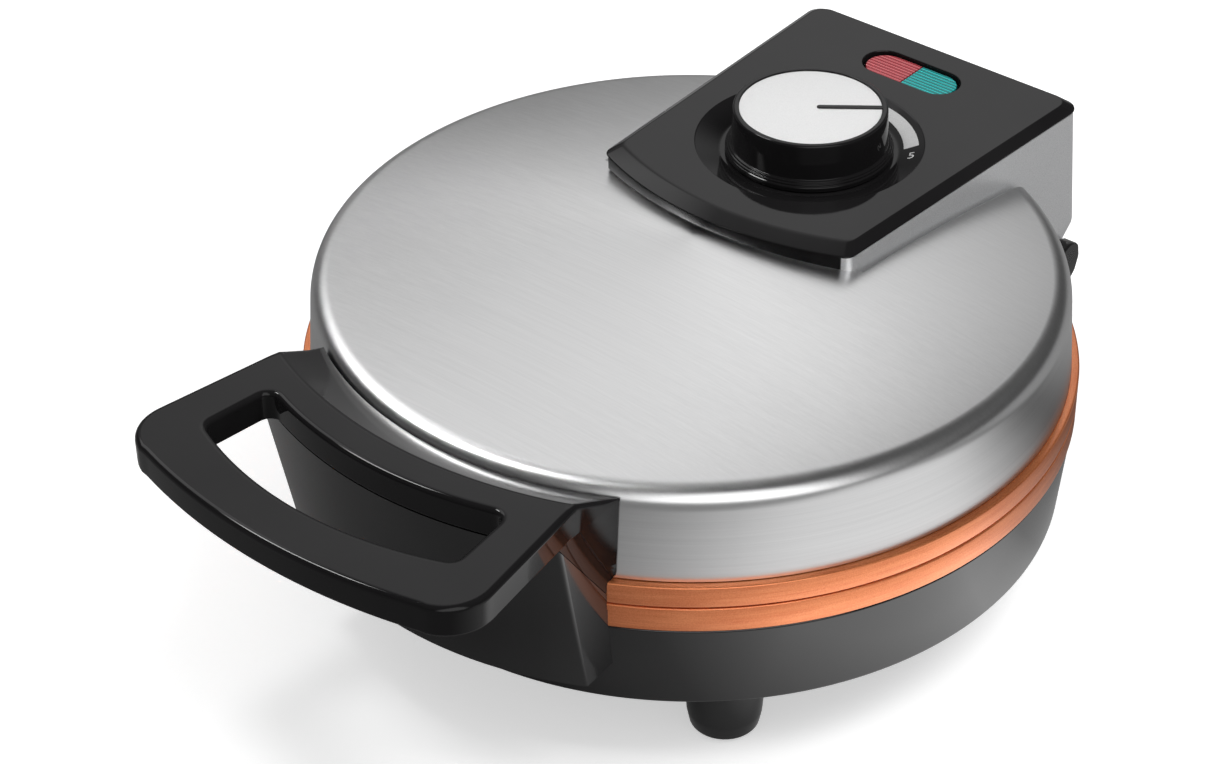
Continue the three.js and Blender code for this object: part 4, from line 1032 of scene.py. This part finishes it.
levels = [housing_top, 100.0, 90.0, 80.0, 72.0, wedge_low_z + wedge_chamfer + 0.6,
          wedge_low_z + wedge_chamfer - 0.3, wedge_low_z + 0.5]
loops = [at_height(housing_outline(z, 0.0), z) for z in levels]
loops.append(at_height(housing_outline(wedge_low_z, -0.45), wedge_low_z))
loops += [at_height(housing_outline(z, -housing_wall), z) for z in [wedge_low_z] + levels[::-1]]
housing_form = bmesh.new()
rows = skin(housing_form, loops, cap=False)
stitch(housing_form, rows[-1], rows[0])
housing = piece("control_wedge", housing_form, silver_paint)
cut_with(housing, tool("room_for_lid", spin([
    (0, 50.0), (band_radius + rim_gap, 50.0), (band_radius + rim_gap, steel_foot_z),
    (steel_foot_radius + rim_gap, steel_foot_z), (steel_radius(deck_z) + rim_gap, deck_z),
    (0, deck_z)], 192)))
smooth_where_flat(housing, 30)
even_normals(housing)
deck_form = bmesh.new()
skin(deck_form, [
    at_height(wedge_outline(z, -housing_wall / 2, 6), z) for z in (deck_z, deck_z + 2)])
deck = piece("control_deck", deck_form, silver_paint)
for thing in (housing, deck):
    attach(thing, "lid")
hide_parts("control_housing")


# Control panel.
# A polished black moulding snapped on to the housing: a flat face with a wide front bevel
# and narrow side bevels, a round dish for the dial, a window for the lamps and a lip that
# drops on to the dome in front.
panel_z = dome_top + panel_rise
panel_under = panel_foot_z - 0.5
dish_radius = 34.9
dish_floor_radius = 27.0
dish_depth = 3.0
panel_corner = 3.2
panel_reach = -5.2
panel_bow = 107
panel_top_reach = -10.8
panel_top_bow = 100
lip_half = 43.8
lens_y = 110.5
lens_half = 17.0
lens_radius = 6.9


def panel_outline(top):
    return bowed_outline(
        panel_top_reach if top else panel_reach, panel_top_bow if top else panel_bow,
        lambda y: foot_half(y) - (bevel_side if top else 0), panel_corner,
        wedge_rear - (2.5 if top else 0), 5, steps=40, ease_steps=12)


def capsule_outline(half, radius, steps=14):
    points = []
    straight = half - radius
    for side, first in ((1, -90), (-1, 90)):
        for i in range(steps + 1):
            a = math.radians(first + 180 * i / steps)
            points.append((side * straight + radius * math.cos(a), lens_y + radius * math.sin(a)))
    return points


def flat(vert):
    return Vector((vert.co.x, vert.co.y))


def is_inside(point, loop):
    """Whether a point lies within a closed line of points."""
    hit = False
    for i, a in enumerate(loop):
        b = loop[i - 1]
        if (a.y > point.y) != (b.y > point.y):
            if point.x < (b.x - a.x) * (point.y - a.y) / (b.y - a.y) + a.x:
                hit = not hit
    return hit


def fill_between(bm, outer_row, holes):
    """Flat faces between an outer row of verts and rows of holes, all at one height."""
    verts, edges = [], []
    for row in [outer_row] + holes:
        start, n = len(verts), len(row)
        edges += [(start + i, start + (i + 1) % n) for i in range(n)]
        verts += row
    _, _, triangles, origins, _, _ = delaunay_2d_cdt(
        [flat(v) for v in verts], edges, [], 0, 1e-6, True)
    border, *gaps = [[flat(v) for v in row] for row in [outer_row] + holes]
    for triangle in triangles:
        corners = [verts[origins[i][0]] for i in triangle]
        middle = sum((flat(v) for v in corners), Vector((0, 0))) / 3
        if is_inside(middle, border) and not any(is_inside(middle, gap) for gap in gaps):
            bm.faces.new(corners)


foot_loop = panel_outline(False)
top_loop = panel_outline(True)
panel_form = bmesh.new()
rows = skin(panel_form, [between(foot_loop, top_loop, t, z) for t, z in (
    (0.5, panel_under), (0.0, panel_under), (0.0, panel_foot_z - 0.25),
    (0.02, panel_foot_z - 0.05), (0.07, panel_foot_z + 0.12), (0.80, panel_z - 0.38),
    (0.90, panel_z - 0.17), (0.99, panel_z - 0.03), (1.10, panel_z),
)], cap=False)
dish_floor_z = panel_z - dish_depth
dish_rows = skin(panel_form, [
    [(r * math.cos(a), dial_y + r * math.sin(a), z)
     for a in (2 * math.pi * i / 128 for i in range(128))]
    for r, z in (
        (dish_radius + 0.3, panel_z), (dish_radius + 0.12, panel_z - 0.03),
        (dish_radius - 0.02, panel_z - 0.1), (dish_radius - 0.2, panel_z - 0.24),
        (dish_floor_radius + 0.8, dish_floor_z + 0.35),
        (dish_floor_radius + 0.3, dish_floor_z + 0.08), (dish_floor_radius - 0.4, dish_floor_z),
        (3.7, dish_floor_z), (3.7, dish_floor_z - 1.5),
        (dish_floor_radius + 1.5, dish_floor_z - 1.5),
        (dish_radius + 1.5, panel_under))], cap=False)
window_rows = skin(panel_form, [
    at_height(capsule_outline(lens_half + grow, lens_radius + grow), z) for grow, z in (
        (0.8, panel_z), (0.45, panel_z - 0.08), (0.3, panel_z - 0.35), (0.3, panel_under))],
    cap=False)
fill_between(panel_form, rows[-1], [dish_rows[0], window_rows[0]])
fill_between(panel_form, rows[0], [dish_rows[-1], window_rows[-1]])
panel = piece("control_face", panel_form, polished_black, 24)
even_normals(panel)

# The lip: an upright wall round the front, down to the dome
lip_wall = 1.8
lip_gap = 0.35
lip_end = panel_bow - panel_reach - math.sqrt(panel_bow ** 2 - lip_half ** 2)
lip_path = [p for p in foot_loop if p[1] < lip_end]
lip_path += [(side * lip_half, lip_end) for side in (-1, 1)]
lip_path.sort(key=lambda p: math.atan2(p[0], -(p[1] - dial_y)))
sections = []
for i, point in enumerate(lip_path):
    here = Vector(point)
    line = Vector(lip_path[min(i + 1, len(lip_path) - 1)]) - Vector(lip_path[max(i - 1, 0)])
    line.normalize()
    normal = Vector((-line.y, line.x))
    if normal.dot(Vector((0, dial_y)) - here) < 0:
        normal.negate()
    behind = here + normal * lip_wall
    low = lid_height(min(here.length, 110.0)) + lip_gap
    sections.append([
        (*here, panel_foot_z - 0.3), (*here, low + 0.5), (*(here + normal * 0.15), low + 0.15),
        (*(here + normal * 0.5), low), (*behind, lid_height(min(behind.length, 110.0)) + lip_gap),
        (*behind, panel_foot_z - 0.4),
    ])
lip_form = bmesh.new()
skin(lip_form, sections)
lip = piece("control_lip", lip_form, polished_black, 30)
for thing in (panel, lip):
    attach(thing, "lid")
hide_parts("control_panel")


# Dial scale.
# A pale band printed on the dish's slope that widens towards the hot end, with a plain
# number at each end.
scale_first, scale_last = 36.0, 165.0
print_lift = 0.05
pale_print, tree, shader, place = new_finish("pale_print")
dots = noise(tree, place, 4000.0, 1.0)
surface(tree, shader, (dots, 0.35, 0.65), (0.54, 0.54, 0.54), (0.66, 0.66, 0.66),
        (dots, 0.3, 0.7, 0.3, 0.45))
dish_slope = dish_depth / (dish_radius - dish_floor_radius)


def on_dish(radius, lift=0.0):
    return panel_z - (dish_radius - radius) * dish_slope + lift


scale_form = bmesh.new()
loops = []
for i in range(91):
    t = i / 90
    a = math.radians(scale_first + (scale_last - scale_first) * t)
    half = 2.25 * (1 - t) + 0.45 * t
    inner_r, outer_r = 30.9 - half, 30.9 + half
    loops.append([
        (r * math.cos(a), dial_y + r * math.sin(a), on_dish(r, lift))
        for r, lift in (
            (inner_r, print_lift), (outer_r, print_lift), (outer_r, -0.05), (inner_r, -0.05))
    ])
skin(scale_form, loops)
scale_band = piece("dial_scale", scale_form, pale_print)


def numeral(text, angle, radius, height):
    """A printed number laid on the dish's slope, reading outwards from the dial."""
    curve = bpy.data.curves.new("numeral", "FONT")
    curve.body = text
    curve.size = height / 1000
    curve.align_x = "CENTER"
    curve.align_y = "CENTER"
    curve.extrude = 0.00004
    thing = placed("numeral", curve)
    mesh = plain_mesh(thing)
    bpy.data.objects.remove(thing)
    bpy.data.curves.remove(curve)
    a = math.radians(angle)
    outwards = Vector((math.cos(a), math.sin(a), dish_slope)).normalized()
    around = Vector((-math.sin(a), math.cos(a), 0))
    lie = Matrix((outwards, around, outwards.cross(around))).transposed().to_4x4()
    spot = into_frame @ Vector((
        radius * math.cos(a), dial_y + radius * math.sin(a), on_dish(radius, print_lift)))
    mesh.transform(Matrix.Translation(spot) @ lie)
    return mesh


number_form = bmesh.new()
for text, angle in (("5", 26.5), ("1", 172.0)):
    mesh = numeral(text, angle, 31.2, 5.0)
    number_form.from_mesh(mesh)
    bpy.data.meshes.remove(mesh)
number_mesh = bpy.data.meshes.new("dial_numbers")
number_form.to_mesh(number_mesh)
number_form.free()
numbers = piece("dial_numbers", number_mesh, pale_print)
for thing in (scale_band, numbers):
    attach(thing, "lid")


# Lamp lenses.
# Two clear coloured mouldings side by side in one window, ribbed on the inside so that
# the lamps behind spread their light.
def lens_finish(name, deep, pale):
    material, tree, shader, place = new_finish(
        name, coat=0.15, centre=(0, (axis_shift + lens_y) / 1000, 0))
    ribs, beads = [new_node(tree, "ShaderNodeTexWave", {
        "Vector": place, "Scale": scale, "Distortion": distortion, "Detail": detail,
    }, bands_direction=along).outputs["Fac"] for scale, distortion, detail, along in (
        (210.0, 0.4, 1.0, "Y"), (330.0, 1.2, 2.0, "X"))]
    mixed = math_node(tree, "ADD", math_node(tree, "MULTIPLY", ribs, 0.7),
                      math_node(tree, "MULTIPLY", beads, 0.3))
    surface(tree, shader, (mixed, 0.35, 0.85), deep, pale, (mixed, 0.0, 1.0, 0.28, 0.12),
            (mixed, 0.8, 0.0004))
    return material


red_lens = lens_finish("red_lens", (0.33, 0.018, 0.028), (0.70, 0.155, 0.175))
teal_lens = lens_finish("teal_lens", (0.0005, 0.19, 0.185), (0.012, 0.55, 0.54))
lens_levels = (
    (0.0, panel_z - 4.2), (0.0, panel_z - 1.35), (0.12, panel_z - 1.12), (0.45, panel_z - 1.0))
for side, name, node, finish in (
    (-1, "red_lamp_lens", "power_lens", red_lens),
    (1, "teal_lamp_lens", "ready_lens", teal_lens),
):
    form = bmesh.new()
    skin(form, [
        [(max(x * side, 0.22 + inset * 0.3) * side, y, z) for x, y in capsule_outline(
            lens_half - 0.9 - inset, lens_radius - 0.35 - inset, 18)]
        for inset, z in lens_levels])
    bmesh.ops.remove_doubles(form, verts=form.verts, dist=1e-4)
    lens_piece = piece(name, form, finish, 30)
    even_normals(lens_piece)
    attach(lens_piece, "lid")
    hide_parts(node)


# Dial knob.
# A polished black knob with a stepped collar, a silver disc let into its top and a thin
# black rib for a pointer. It is pressed on to the thermostat's shaft.
knob_foot = panel_z - dish_depth + 0.3
knob_top = 121.14
pointer_angle = 37.6
disc_radius = 21.6
pointer_half = 0.9

knob_profile = ease([
    (0, knob_foot), (25.7, knob_foot, 0.3), (25.7, knob_foot + 1.5, 0.45),
    (25.2, knob_foot + 1.8, 0.2),
    (25.2, knob_foot + 2.3, 0.2), (24.7, knob_foot + 2.5, 0.2), (24.7, knob_foot + 2.9, 0.25),
    (23.95, knob_foot + 3.3, 0.4), (23.45, knob_top, 0.7), (21.75, knob_top, 0.15),
    (21.75, knob_top - 0.8), (0, knob_top - 0.8),
], 4)
knob = piece("dial_body", spin(knob_profile, 160, (0, dial_y)), polished_black, 34)
even_normals(knob)
silver_disc, tree, shader, place = new_finish(
    "silver_disc", metallic=0.2, centre=(0, (axis_shift + dial_y) / 1000, 0))
grain = noise(tree, place, 3200.0, 2.0)
surface(tree, shader, (grain, 0.3, 0.7), (0.80, 0.80, 0.80), (0.87, 0.87, 0.87),
        (grain, 0.3, 0.7, 0.42, 0.55), (grain, 0.08, 0.00003))
disc_top = knob_top - 0.4
disc = piece("dial_disc", spin(ease([
    (0, disc_top - 0.35), (disc_radius, disc_top - 0.35), (disc_radius, disc_top, 0.15),
    (0, disc_top),
], 4), 128, (0, dial_y)), silver_disc)
along = Vector((math.cos(math.radians(pointer_angle)), math.sin(math.radians(pointer_angle))))
sideways = Vector((-along.y, along.x))
outline = [
    (2.8 + pointer_half * math.cos(a), pointer_half * math.sin(a))
    for a in (math.radians(90 + 180 * i / 8) for i in range(9))]
outline += [(21.7, -pointer_half), (21.7, pointer_half)]
pointer = bmesh.new()
skin(pointer, [
    [(*(Vector((0, dial_y)) + along * a + sideways * (b - math.copysign(pull, b))), z)
     for a, b in outline]
    for pull, z in ((0, disc_top - 0.3), (0, disc_top + 0.25), (0.12, knob_top - 0.02))])
pointer_rib = piece("dial_pointer", pointer, polished_black, 40)
for thing, slot in ((knob, "gloss_black"), (disc, "silver_disc"), (pointer_rib, "gloss_black")):
    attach(thing, "dial")
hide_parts("dial_knob")
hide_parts("knob_disc")


# Frames and hinge.
# Two black moulded rings carry the cast plates by their flanges. The lid's ring has a pair
# of knuckles that turn on a steel pin between the base's ears.
frame_black = moulded(
    "frame_black", (0.010, 0.010, 0.011), (0.016, 0.016, 0.017), 0.34, 0.48, 0.25, 1200.0)


def frame_profile(side):
    points = [(96.0, 0.6), (112.2, 0.6), (112.2, 12.0), (109.8, 12.0), (109.8, 2.9), (96.0, 2.9)]
    rounds = (0.5, 0.6, 0.2, 0.2, 0.2, 0.2)
    return ease([(r, seam_z + side * d, e) for (r, d), e in zip(points, rounds)], 3)


base_ring = piece("base_ring", spin(frame_profile(-1), 192), frame_black)
lid_ring = piece("lid_ring", spin(frame_profile(1), 192), frame_black)
knuckle_radius = 6.3
knuckle_root_y = 106.0
knuckle_low_z = seam_z + 0.7
knuckle_outline = [
    (knuckle_root_y, seam_z + knuckle_radius), (knuckle_root_y, knuckle_low_z),
    (hinge_y - 6.2, knuckle_low_z)]
for i in range(19):
    a = math.radians(185 + 265 * i / 18)
    knuckle_outline.append((
        hinge_y + knuckle_radius * math.cos(a), seam_z + knuckle_radius * math.sin(a)))
knuckle_piece = piece("hinge_knuckles", side_plates(
    knuckle_outline, (38.0, 38.4, 47.6, 48.0), (hinge_y - 4, seam_z + 2), 0.96), frame_black, 40)
for thing, body, node in ((base_ring, "base", "base_frame"), (lid_ring, "lid", "lid_frame")):
    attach(thing, body)
    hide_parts(node)
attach(knuckle_piece, "lid")


# Cast waffle plates.
# A pair of aluminium castings with a dark release coating. Each is a dish whose floor
# carries tapered pegs in four quarters, parted by a cross of low ridges, and the two sets
# of pegs meet face to face when the lid is shut.
plate_floor = 13.5
plate_floor_radius = 88.5
peg_pitch = 16.5
peg_first = 13.5
peg_base, peg_tip = 11.0, 8.0
peg_reach = plate_floor_radius - peg_base * math.sqrt(0.5)
ridge_reach = 89.6

cast_coating, tree, shader, place = new_finish("cast_coating", metallic=0.25)
grit = noise(tree, place, 1800.0, 4.0)
surface(tree, shader, (noise(tree, place, 35.0, 3.0), 0.3, 0.7), (0.018, 0.018, 0.019),
        (0.032, 0.031, 0.031), (grit, 0.3, 0.7, 0.36, 0.54), (grit, 0.35, 0.00008))

# Pegs in rows on both sides of a cross, as far as a round floor reaches.
peg_field, given, result = new_group("peg_field", [
    ("Geometry", "Geometry", None), ("Rows", "Int", 10), ("Pitch", "Float", 0.0165),
    ("Cross Gap", "Float", 0.005), ("Reach", "Float", 0.08), ("Centre", "Vector", (0, 0, 0)),
    ("Finish", "Material", None),
], [("Geometry", "Geometry")], "Geometry")
gaps = math_node(peg_field, "SUBTRACT", given.outputs["Rows"], 1.0)
span = math_node(peg_field, "MULTIPLY", gaps, given.outputs["Pitch"])
grid = new_node(peg_field, "GeometryNodeMeshGrid", {
    "Size X": span, "Size Y": span, "Vertices X": given.outputs["Rows"],
    "Vertices Y": given.outputs["Rows"]})
where = peg_field.nodes.new("GeometryNodeInputPosition").outputs[0]
sign = new_node(peg_field, "ShaderNodeVectorMath", {0: where}, operation="SIGN")
push = new_node(peg_field, "ShaderNodeVectorMath", {
    0: sign.outputs[0], "Scale": given.outputs["Cross Gap"]}, operation="SCALE")
parted = new_node(peg_field, "GeometryNodeSetPosition", {
    "Geometry": grid.outputs["Mesh"], "Offset": push.outputs[0]})
far = new_node(peg_field, "ShaderNodeVectorMath", {0: where}, operation="LENGTH")
beyond = math_node(peg_field, "GREATER_THAN", far.outputs["Value"], given.outputs["Reach"])
kept = new_node(peg_field, "GeometryNodeDeleteGeometry", {
    "Geometry": parted.outputs["Geometry"], "Selection": beyond}, domain="POINT")
copies_on(peg_field, kept.outputs["Geometry"], given, result)


def square(half, z, eased_by):
    corners = ((-half, -half), (half, -half), (half, half), (-half, half))
    return at_height(ease([(x, y, eased_by) for x, y in corners], 3), z)


def join(things):
    """One object from several, keeping the first one's name and finish."""
    joined = bmesh.new()
    for thing in things:
        joined.from_mesh(thing.data)
    first, *others = things
    mesh = bpy.data.meshes.new(first.name)
    joined.to_mesh(mesh)
    joined.free()
    mesh.materials.append(first.data.materials[0])
    first.data = mesh
    for thing in others:
        bpy.data.objects.remove(thing)
    return first


def cast_plate(side, name):
    def level(depth):
        return seam_z + side * depth
    dish_form = spin([
        (r, level(d)) for r, d in (
            (0, 16.5), (92.0, 16.5), (92.0, 6.0), (98.5, 6.0), (98.5, 3.2),
            (95.5, 3.2), (95.5, 0.7), (95.2, 0.4), (91.4, 0.4), (91.0, 0.7),
            (88.9, 12.2), (88.2, 13.1), (87.0, 13.5), (0, 13.5))
    ], 160)
    peg = bmesh.new()
    skin(peg, [square(half, level(depth), r) for half, depth, r in (
        (peg_base / 2 + 0.9, plate_floor + 0.3, 1.2), (peg_base / 2 + 0.15, plate_floor - 0.5, 1.1),
        (peg_tip / 2 + 0.05, 3.1, 1.0), (peg_tip / 2 - 0.15, 2.7, 1.0),
        (peg_tip / 2 - 0.6, 2.5, 0.8))])
    dish_piece = piece(name, dish_form, cast_coating, 40)
    pegs = piece(name + "_pegs", about_origin(peg, name + "_peg", 30), cast_coating)
    grow_tree(pegs, peg_field, rows=10, pitch=peg_pitch / 1000,
              cross_gap=(peg_first - peg_pitch / 2) / 1000, reach=peg_reach / 1000,
              centre=(0, axis_shift / 1000, 0), finish=cast_coating)
    ridges = bmesh.new()
    outline = ease([(-2.9, 13.8), (-1.3, 1.1, 0.5), (1.3, 1.1, 0.5), (2.9, 13.8)], 3)
    for along_x in (True, False):
        skin(ridges, [
            [(x, y, level(d)) if along_x else (y, x, level(d)) for y, d in outline]
            for x in (-ridge_reach, ridge_reach)])
    ridge_piece = piece(name + "_ridges", ridges, cast_coating, 30)
    return join([dish_piece, pegs, ridge_piece])


for side, name, body, node in (
    (-1, "lower_cast_plate", "base", "lower_grid"), (1, "upper_cast_plate", "lid", "upper_grid"),
):
    plate = cast_plate(side, name)
    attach(plate, body)
    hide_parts(node)


# Pieces inside.
# Heating elements, pans, thermostat, lamps, fasteners and the other hidden pieces keep the
# model's own shapes and only get their real finishes.
def metal(name, dark, pale, smooth, rough, scale=900.0):
    material, tree, shader, place = new_finish(name, metallic=1.0)
    marks = noise(tree, place, scale, 4.0)
    surface(tree, shader, (marks, 0.3, 0.7), dark, pale, (marks, 0.3, 0.7, smooth, rough),
            (marks, 0.1, 0.00003))
    return material


bright_steel = metal("bright_steel", (0.55, 0.55, 0.54), (0.70, 0.70, 0.69), 0.2, 0.34)
element_steel = metal("element_steel", (0.10, 0.085, 0.07), (0.22, 0.19, 0.16), 0.4, 0.6, 300.0)
pan_steel = metal("pan_steel", (0.55, 0.55, 0.55), (0.68, 0.68, 0.67), 0.25, 0.42, 120.0)
pale_ceramic = moulded("pale_ceramic", (0.62, 0.58, 0.50), (0.74, 0.70, 0.62), 0.55, 0.75, 0.3)
pale_nylon = moulded("pale_nylon", (0.58, 0.55, 0.47), (0.66, 0.63, 0.56), 0.4, 0.55, 0.15)
lamp_glass = moulded("lamp_glass", (0.70, 0.62, 0.50), (0.80, 0.74, 0.64), 0.08, 0.16, 0.02)
gland_rubber = moulded("gland_rubber", (0.012, 0.012, 0.012), (0.02, 0.02, 0.02), 0.5, 0.7, 0.3)
finish_of_slot = {
    "black_plastic": black_moulding, "gloss_black": polished_black, "rubber": gland_rubber,
    "brushed_steel": lid_steel, "copper_trim": copper, "silver_plastic": silver_paint,
    "cast_plate": cast_coating, "bright_steel": bright_steel, "element_steel": element_steel,
    "pan_steel": pan_steel, "silver_disc": silver_disc, "red_lens": red_lens,
    "teal_lens": teal_lens, "lamp_glass": lamp_glass, "ceramic": pale_ceramic,
    "pale_nylon": pale_nylon,
}
for entry in frame["record"]["materials"]:
    for node in entry.get("nodes", []):
        thing = frame["nodes"][node]
        thing.data.materials.clear()
        thing.data.materials.append(finish_of_slot[entry["slot"]])


# Studio.
# A pale floor and backdrop under two plain soft lamps. What metal and gloss mirror is
# painted on the floor and the backdrop alone: a pale wall behind to the left, narrow lights
# for the edges, one at the right front for the lid's shoulder, and a dim room elsewhere.
floor_mesh = bpy.data.meshes.new("floor")
floor_mesh.from_pydata([(-6, -6, 0), (6, -6, 0), (6, 6, 0), (-6, 6, 0)], [], [(0, 1, 2, 3)])
floor_paint = bpy.data.materials.new("floor_paint")
floor_paint.use_nodes = True
tree = floor_paint.node_tree
shader = tree.nodes["Principled BSDF"]
shader.inputs["Roughness"].default_value = 0.9
shader.inputs["Specular IOR Level"].default_value = 0.0
path = tree.nodes.new("ShaderNodeLightPath").outputs
on_floor = tree.nodes.new("ShaderNodeTexCoord").outputs["Object"]
floor_x, floor_y, _ = new_node(tree, "ShaderNodeSeparateXYZ", {"Vector": on_floor}).outputs
from_body = new_node(tree, "ShaderNodeVectorMath", {
    0: on_floor, 1: (0, axis_shift / 1000, 0)}, operation="DISTANCE").outputs["Value"]
paleness = math_node(
    tree, "MAXIMUM", path["Is Camera Ray"], ramp(tree, floor_y, 0.05, 0.16, 0.34, 0.08))
tree.links.new(tint(tree, paleness, (0, 0, 0), (0.90, 0.90, 0.90)), shader.inputs["Base Color"])
lit_side = math_node(
    tree, "MULTIPLY", ramp(tree, floor_x, 0.04, 0.16), ramp(tree, floor_y, -0.22, -0.10),
    ramp(tree, floor_y, 0.15, 0.07), 0.70)
close_by = math_node(
    tree, "MULTIPLY", ramp(tree, from_body, 0.195, 0.165), ramp(tree, floor_x, 0.085, 0.135),
    ramp(tree, floor_y, -0.13, -0.06), ramp(tree, floor_y, 0.08, 0.04), 1.1)
mirrored = math_node(tree, "ADD", lit_side, close_by, ramp(tree, floor_y, 0.165, 0.20, 0.0, 0.28))
shown = math_node(tree, "ADD", math_node(tree, "MULTIPLY", path["Is Camera Ray"], 0.50),
                  math_node(tree, "MULTIPLY", path["Is Glossy Ray"], mirrored))
glow = new_node(tree, "ShaderNodeEmission", {"Color": (1, 1, 1, 1), "Strength": shown})
added = new_node(tree, "ShaderNodeAddShader", {0: shader.outputs[0], 1: glow.outputs[0]})
tree.links.new(added.outputs[0], tree.nodes["Material Output"].inputs["Surface"])
floor_mesh.materials.append(floor_paint)
floor = placed("floor", floor_mesh)

world = bpy.data.worlds.new("studio")
bpy.context.scene.world = world
world.use_nodes = True
tree = world.node_tree
background = tree.nodes["Background"]
background.inputs["Color"].default_value = (1, 1, 1, 1)
side, depth, up = new_node(tree, "ShaderNodeSeparateXYZ", {
    "Vector": tree.nodes.new("ShaderNodeTexCoord").outputs["Generated"]}).outputs


def mirrored_light(*fades):
    """A soft patch of the mirrored room, as fades of (direction, from, to, low, high)."""
    return math_node(
        tree, "MULTIPLY", *[ramp(tree, *fade, shape="SMOOTHSTEP") for fade in fades])


pale_wall = mirrored_light(
    (side, -0.12, -0.38, 0.08, 1.0), (side, -0.80, -0.50, 0.38, 1.0), (up, 0.22, 0.58, 0.25, 1.0),
    (depth, -0.05, 0.30, 0.10, 1.25))
side_light = mirrored_light(
    (side, 0.24, 0.46, 0.0, 2.4), (depth, -0.04, -0.26), (up, 0.05, 0.30))
overhead = mirrored_light(
    (up, 0.49, 0.60, 0.0, 2.6), (side, -0.44, -0.62), (side, -0.90, -0.78), (depth, -0.30, -0.12),
    (depth, 0.36, 0.20))
strip_light = mirrored_light(
    (side, -0.38, -0.44, 0.0, 30.0), (side, -0.68, -0.60), (up, 0.55, 0.65), (depth, -0.40, -0.34),
    (depth, -0.16, -0.22))
horizon = ramp(tree, up, 0.10, 0.0, 0.0, 0.4, "SMOOTHSTEP")
room = math_node(
    tree, "MAXIMUM", pale_wall, side_light, overhead, strip_light, horizon, 0.07)
path = tree.nodes.new("ShaderNodeLightPath").outputs
plain = math_node(tree, "MAXIMUM", path["Is Camera Ray"], path["Is Transmission Ray"], 0.5)
strength = new_node(tree, "ShaderNodeMix", {
    "Factor": path["Is Glossy Ray"], 2: plain, 3: room}, data_type="FLOAT")
tree.links.new(strength.outputs[0], background.inputs["Strength"])


def soft_lamp(name, place, aim, size, power):
    light = bpy.data.lights.new(name, "AREA")
    light.shape = "RECTANGLE"
    light.size, light.size_y = size
    light.energy = power
    lamp = placed(name, light)
    direction = Vector(aim) - Vector(place)
    aimed = direction.to_track_quat("-Z", "Y").to_matrix().to_4x4()
    lamp.matrix_world = Matrix.Translation(place) @ aimed
    return lamp


for lamp in (soft_lamp("key_lamp", (0.75, 0.48, 1.35), (0, 0, 0.08), (0.8, 0.8), 10.5),
             soft_lamp("edge_lamp", (-0.34, -0.30, 1.45), (0, 0, 0.08), (0.26, 0.26), 3.2)):
    lamp.visible_glossy = False

camera_azimuth = math.radians(40.61)
camera_elevation = math.radians(36.024)
camera_roll = math.radians(-0.801)
camera_distance = 0.8878
sensor_width = 36.0
focal_pixels = 2957.6
frame_pixels = 1227
aim_sideways, aim_up = -0.023112, -0.012901
back = Vector((
    math.sin(camera_azimuth) * math.cos(camera_elevation),
    -math.cos(camera_azimuth) * math.cos(camera_elevation), math.sin(camera_elevation)))
right = Vector((math.cos(camera_azimuth), math.sin(camera_azimuth), 0))
up = back.cross(right)
aim = Vector((0, axis_shift / 1000, 0.067)) + right * aim_sideways + up * aim_up
level_right = right * math.cos(camera_roll) + up * math.sin(camera_roll)
level_up = up * math.cos(camera_roll) - right * math.sin(camera_roll)
spot = aim + back * camera_distance
camera_data = bpy.data.cameras.new("camera")
camera_data.sensor_fit = "HORIZONTAL"
camera_data.sensor_width = sensor_width
camera_data.lens = sensor_width * focal_pixels / frame_pixels
camera_data.clip_start = 0.01
camera = placed("camera", camera_data)
camera.matrix_world = Matrix((
    (level_right.x, level_up.x, back.x, spot.x),
    (level_right.y, level_up.y, back.y, spot.y),
    (level_right.z, level_up.z, back.z, spot.z),
    (0, 0, 0, 1),
))
bpy.context.scene.camera = camera
bpy.context.scene.view_settings.view_transform = "Standard"
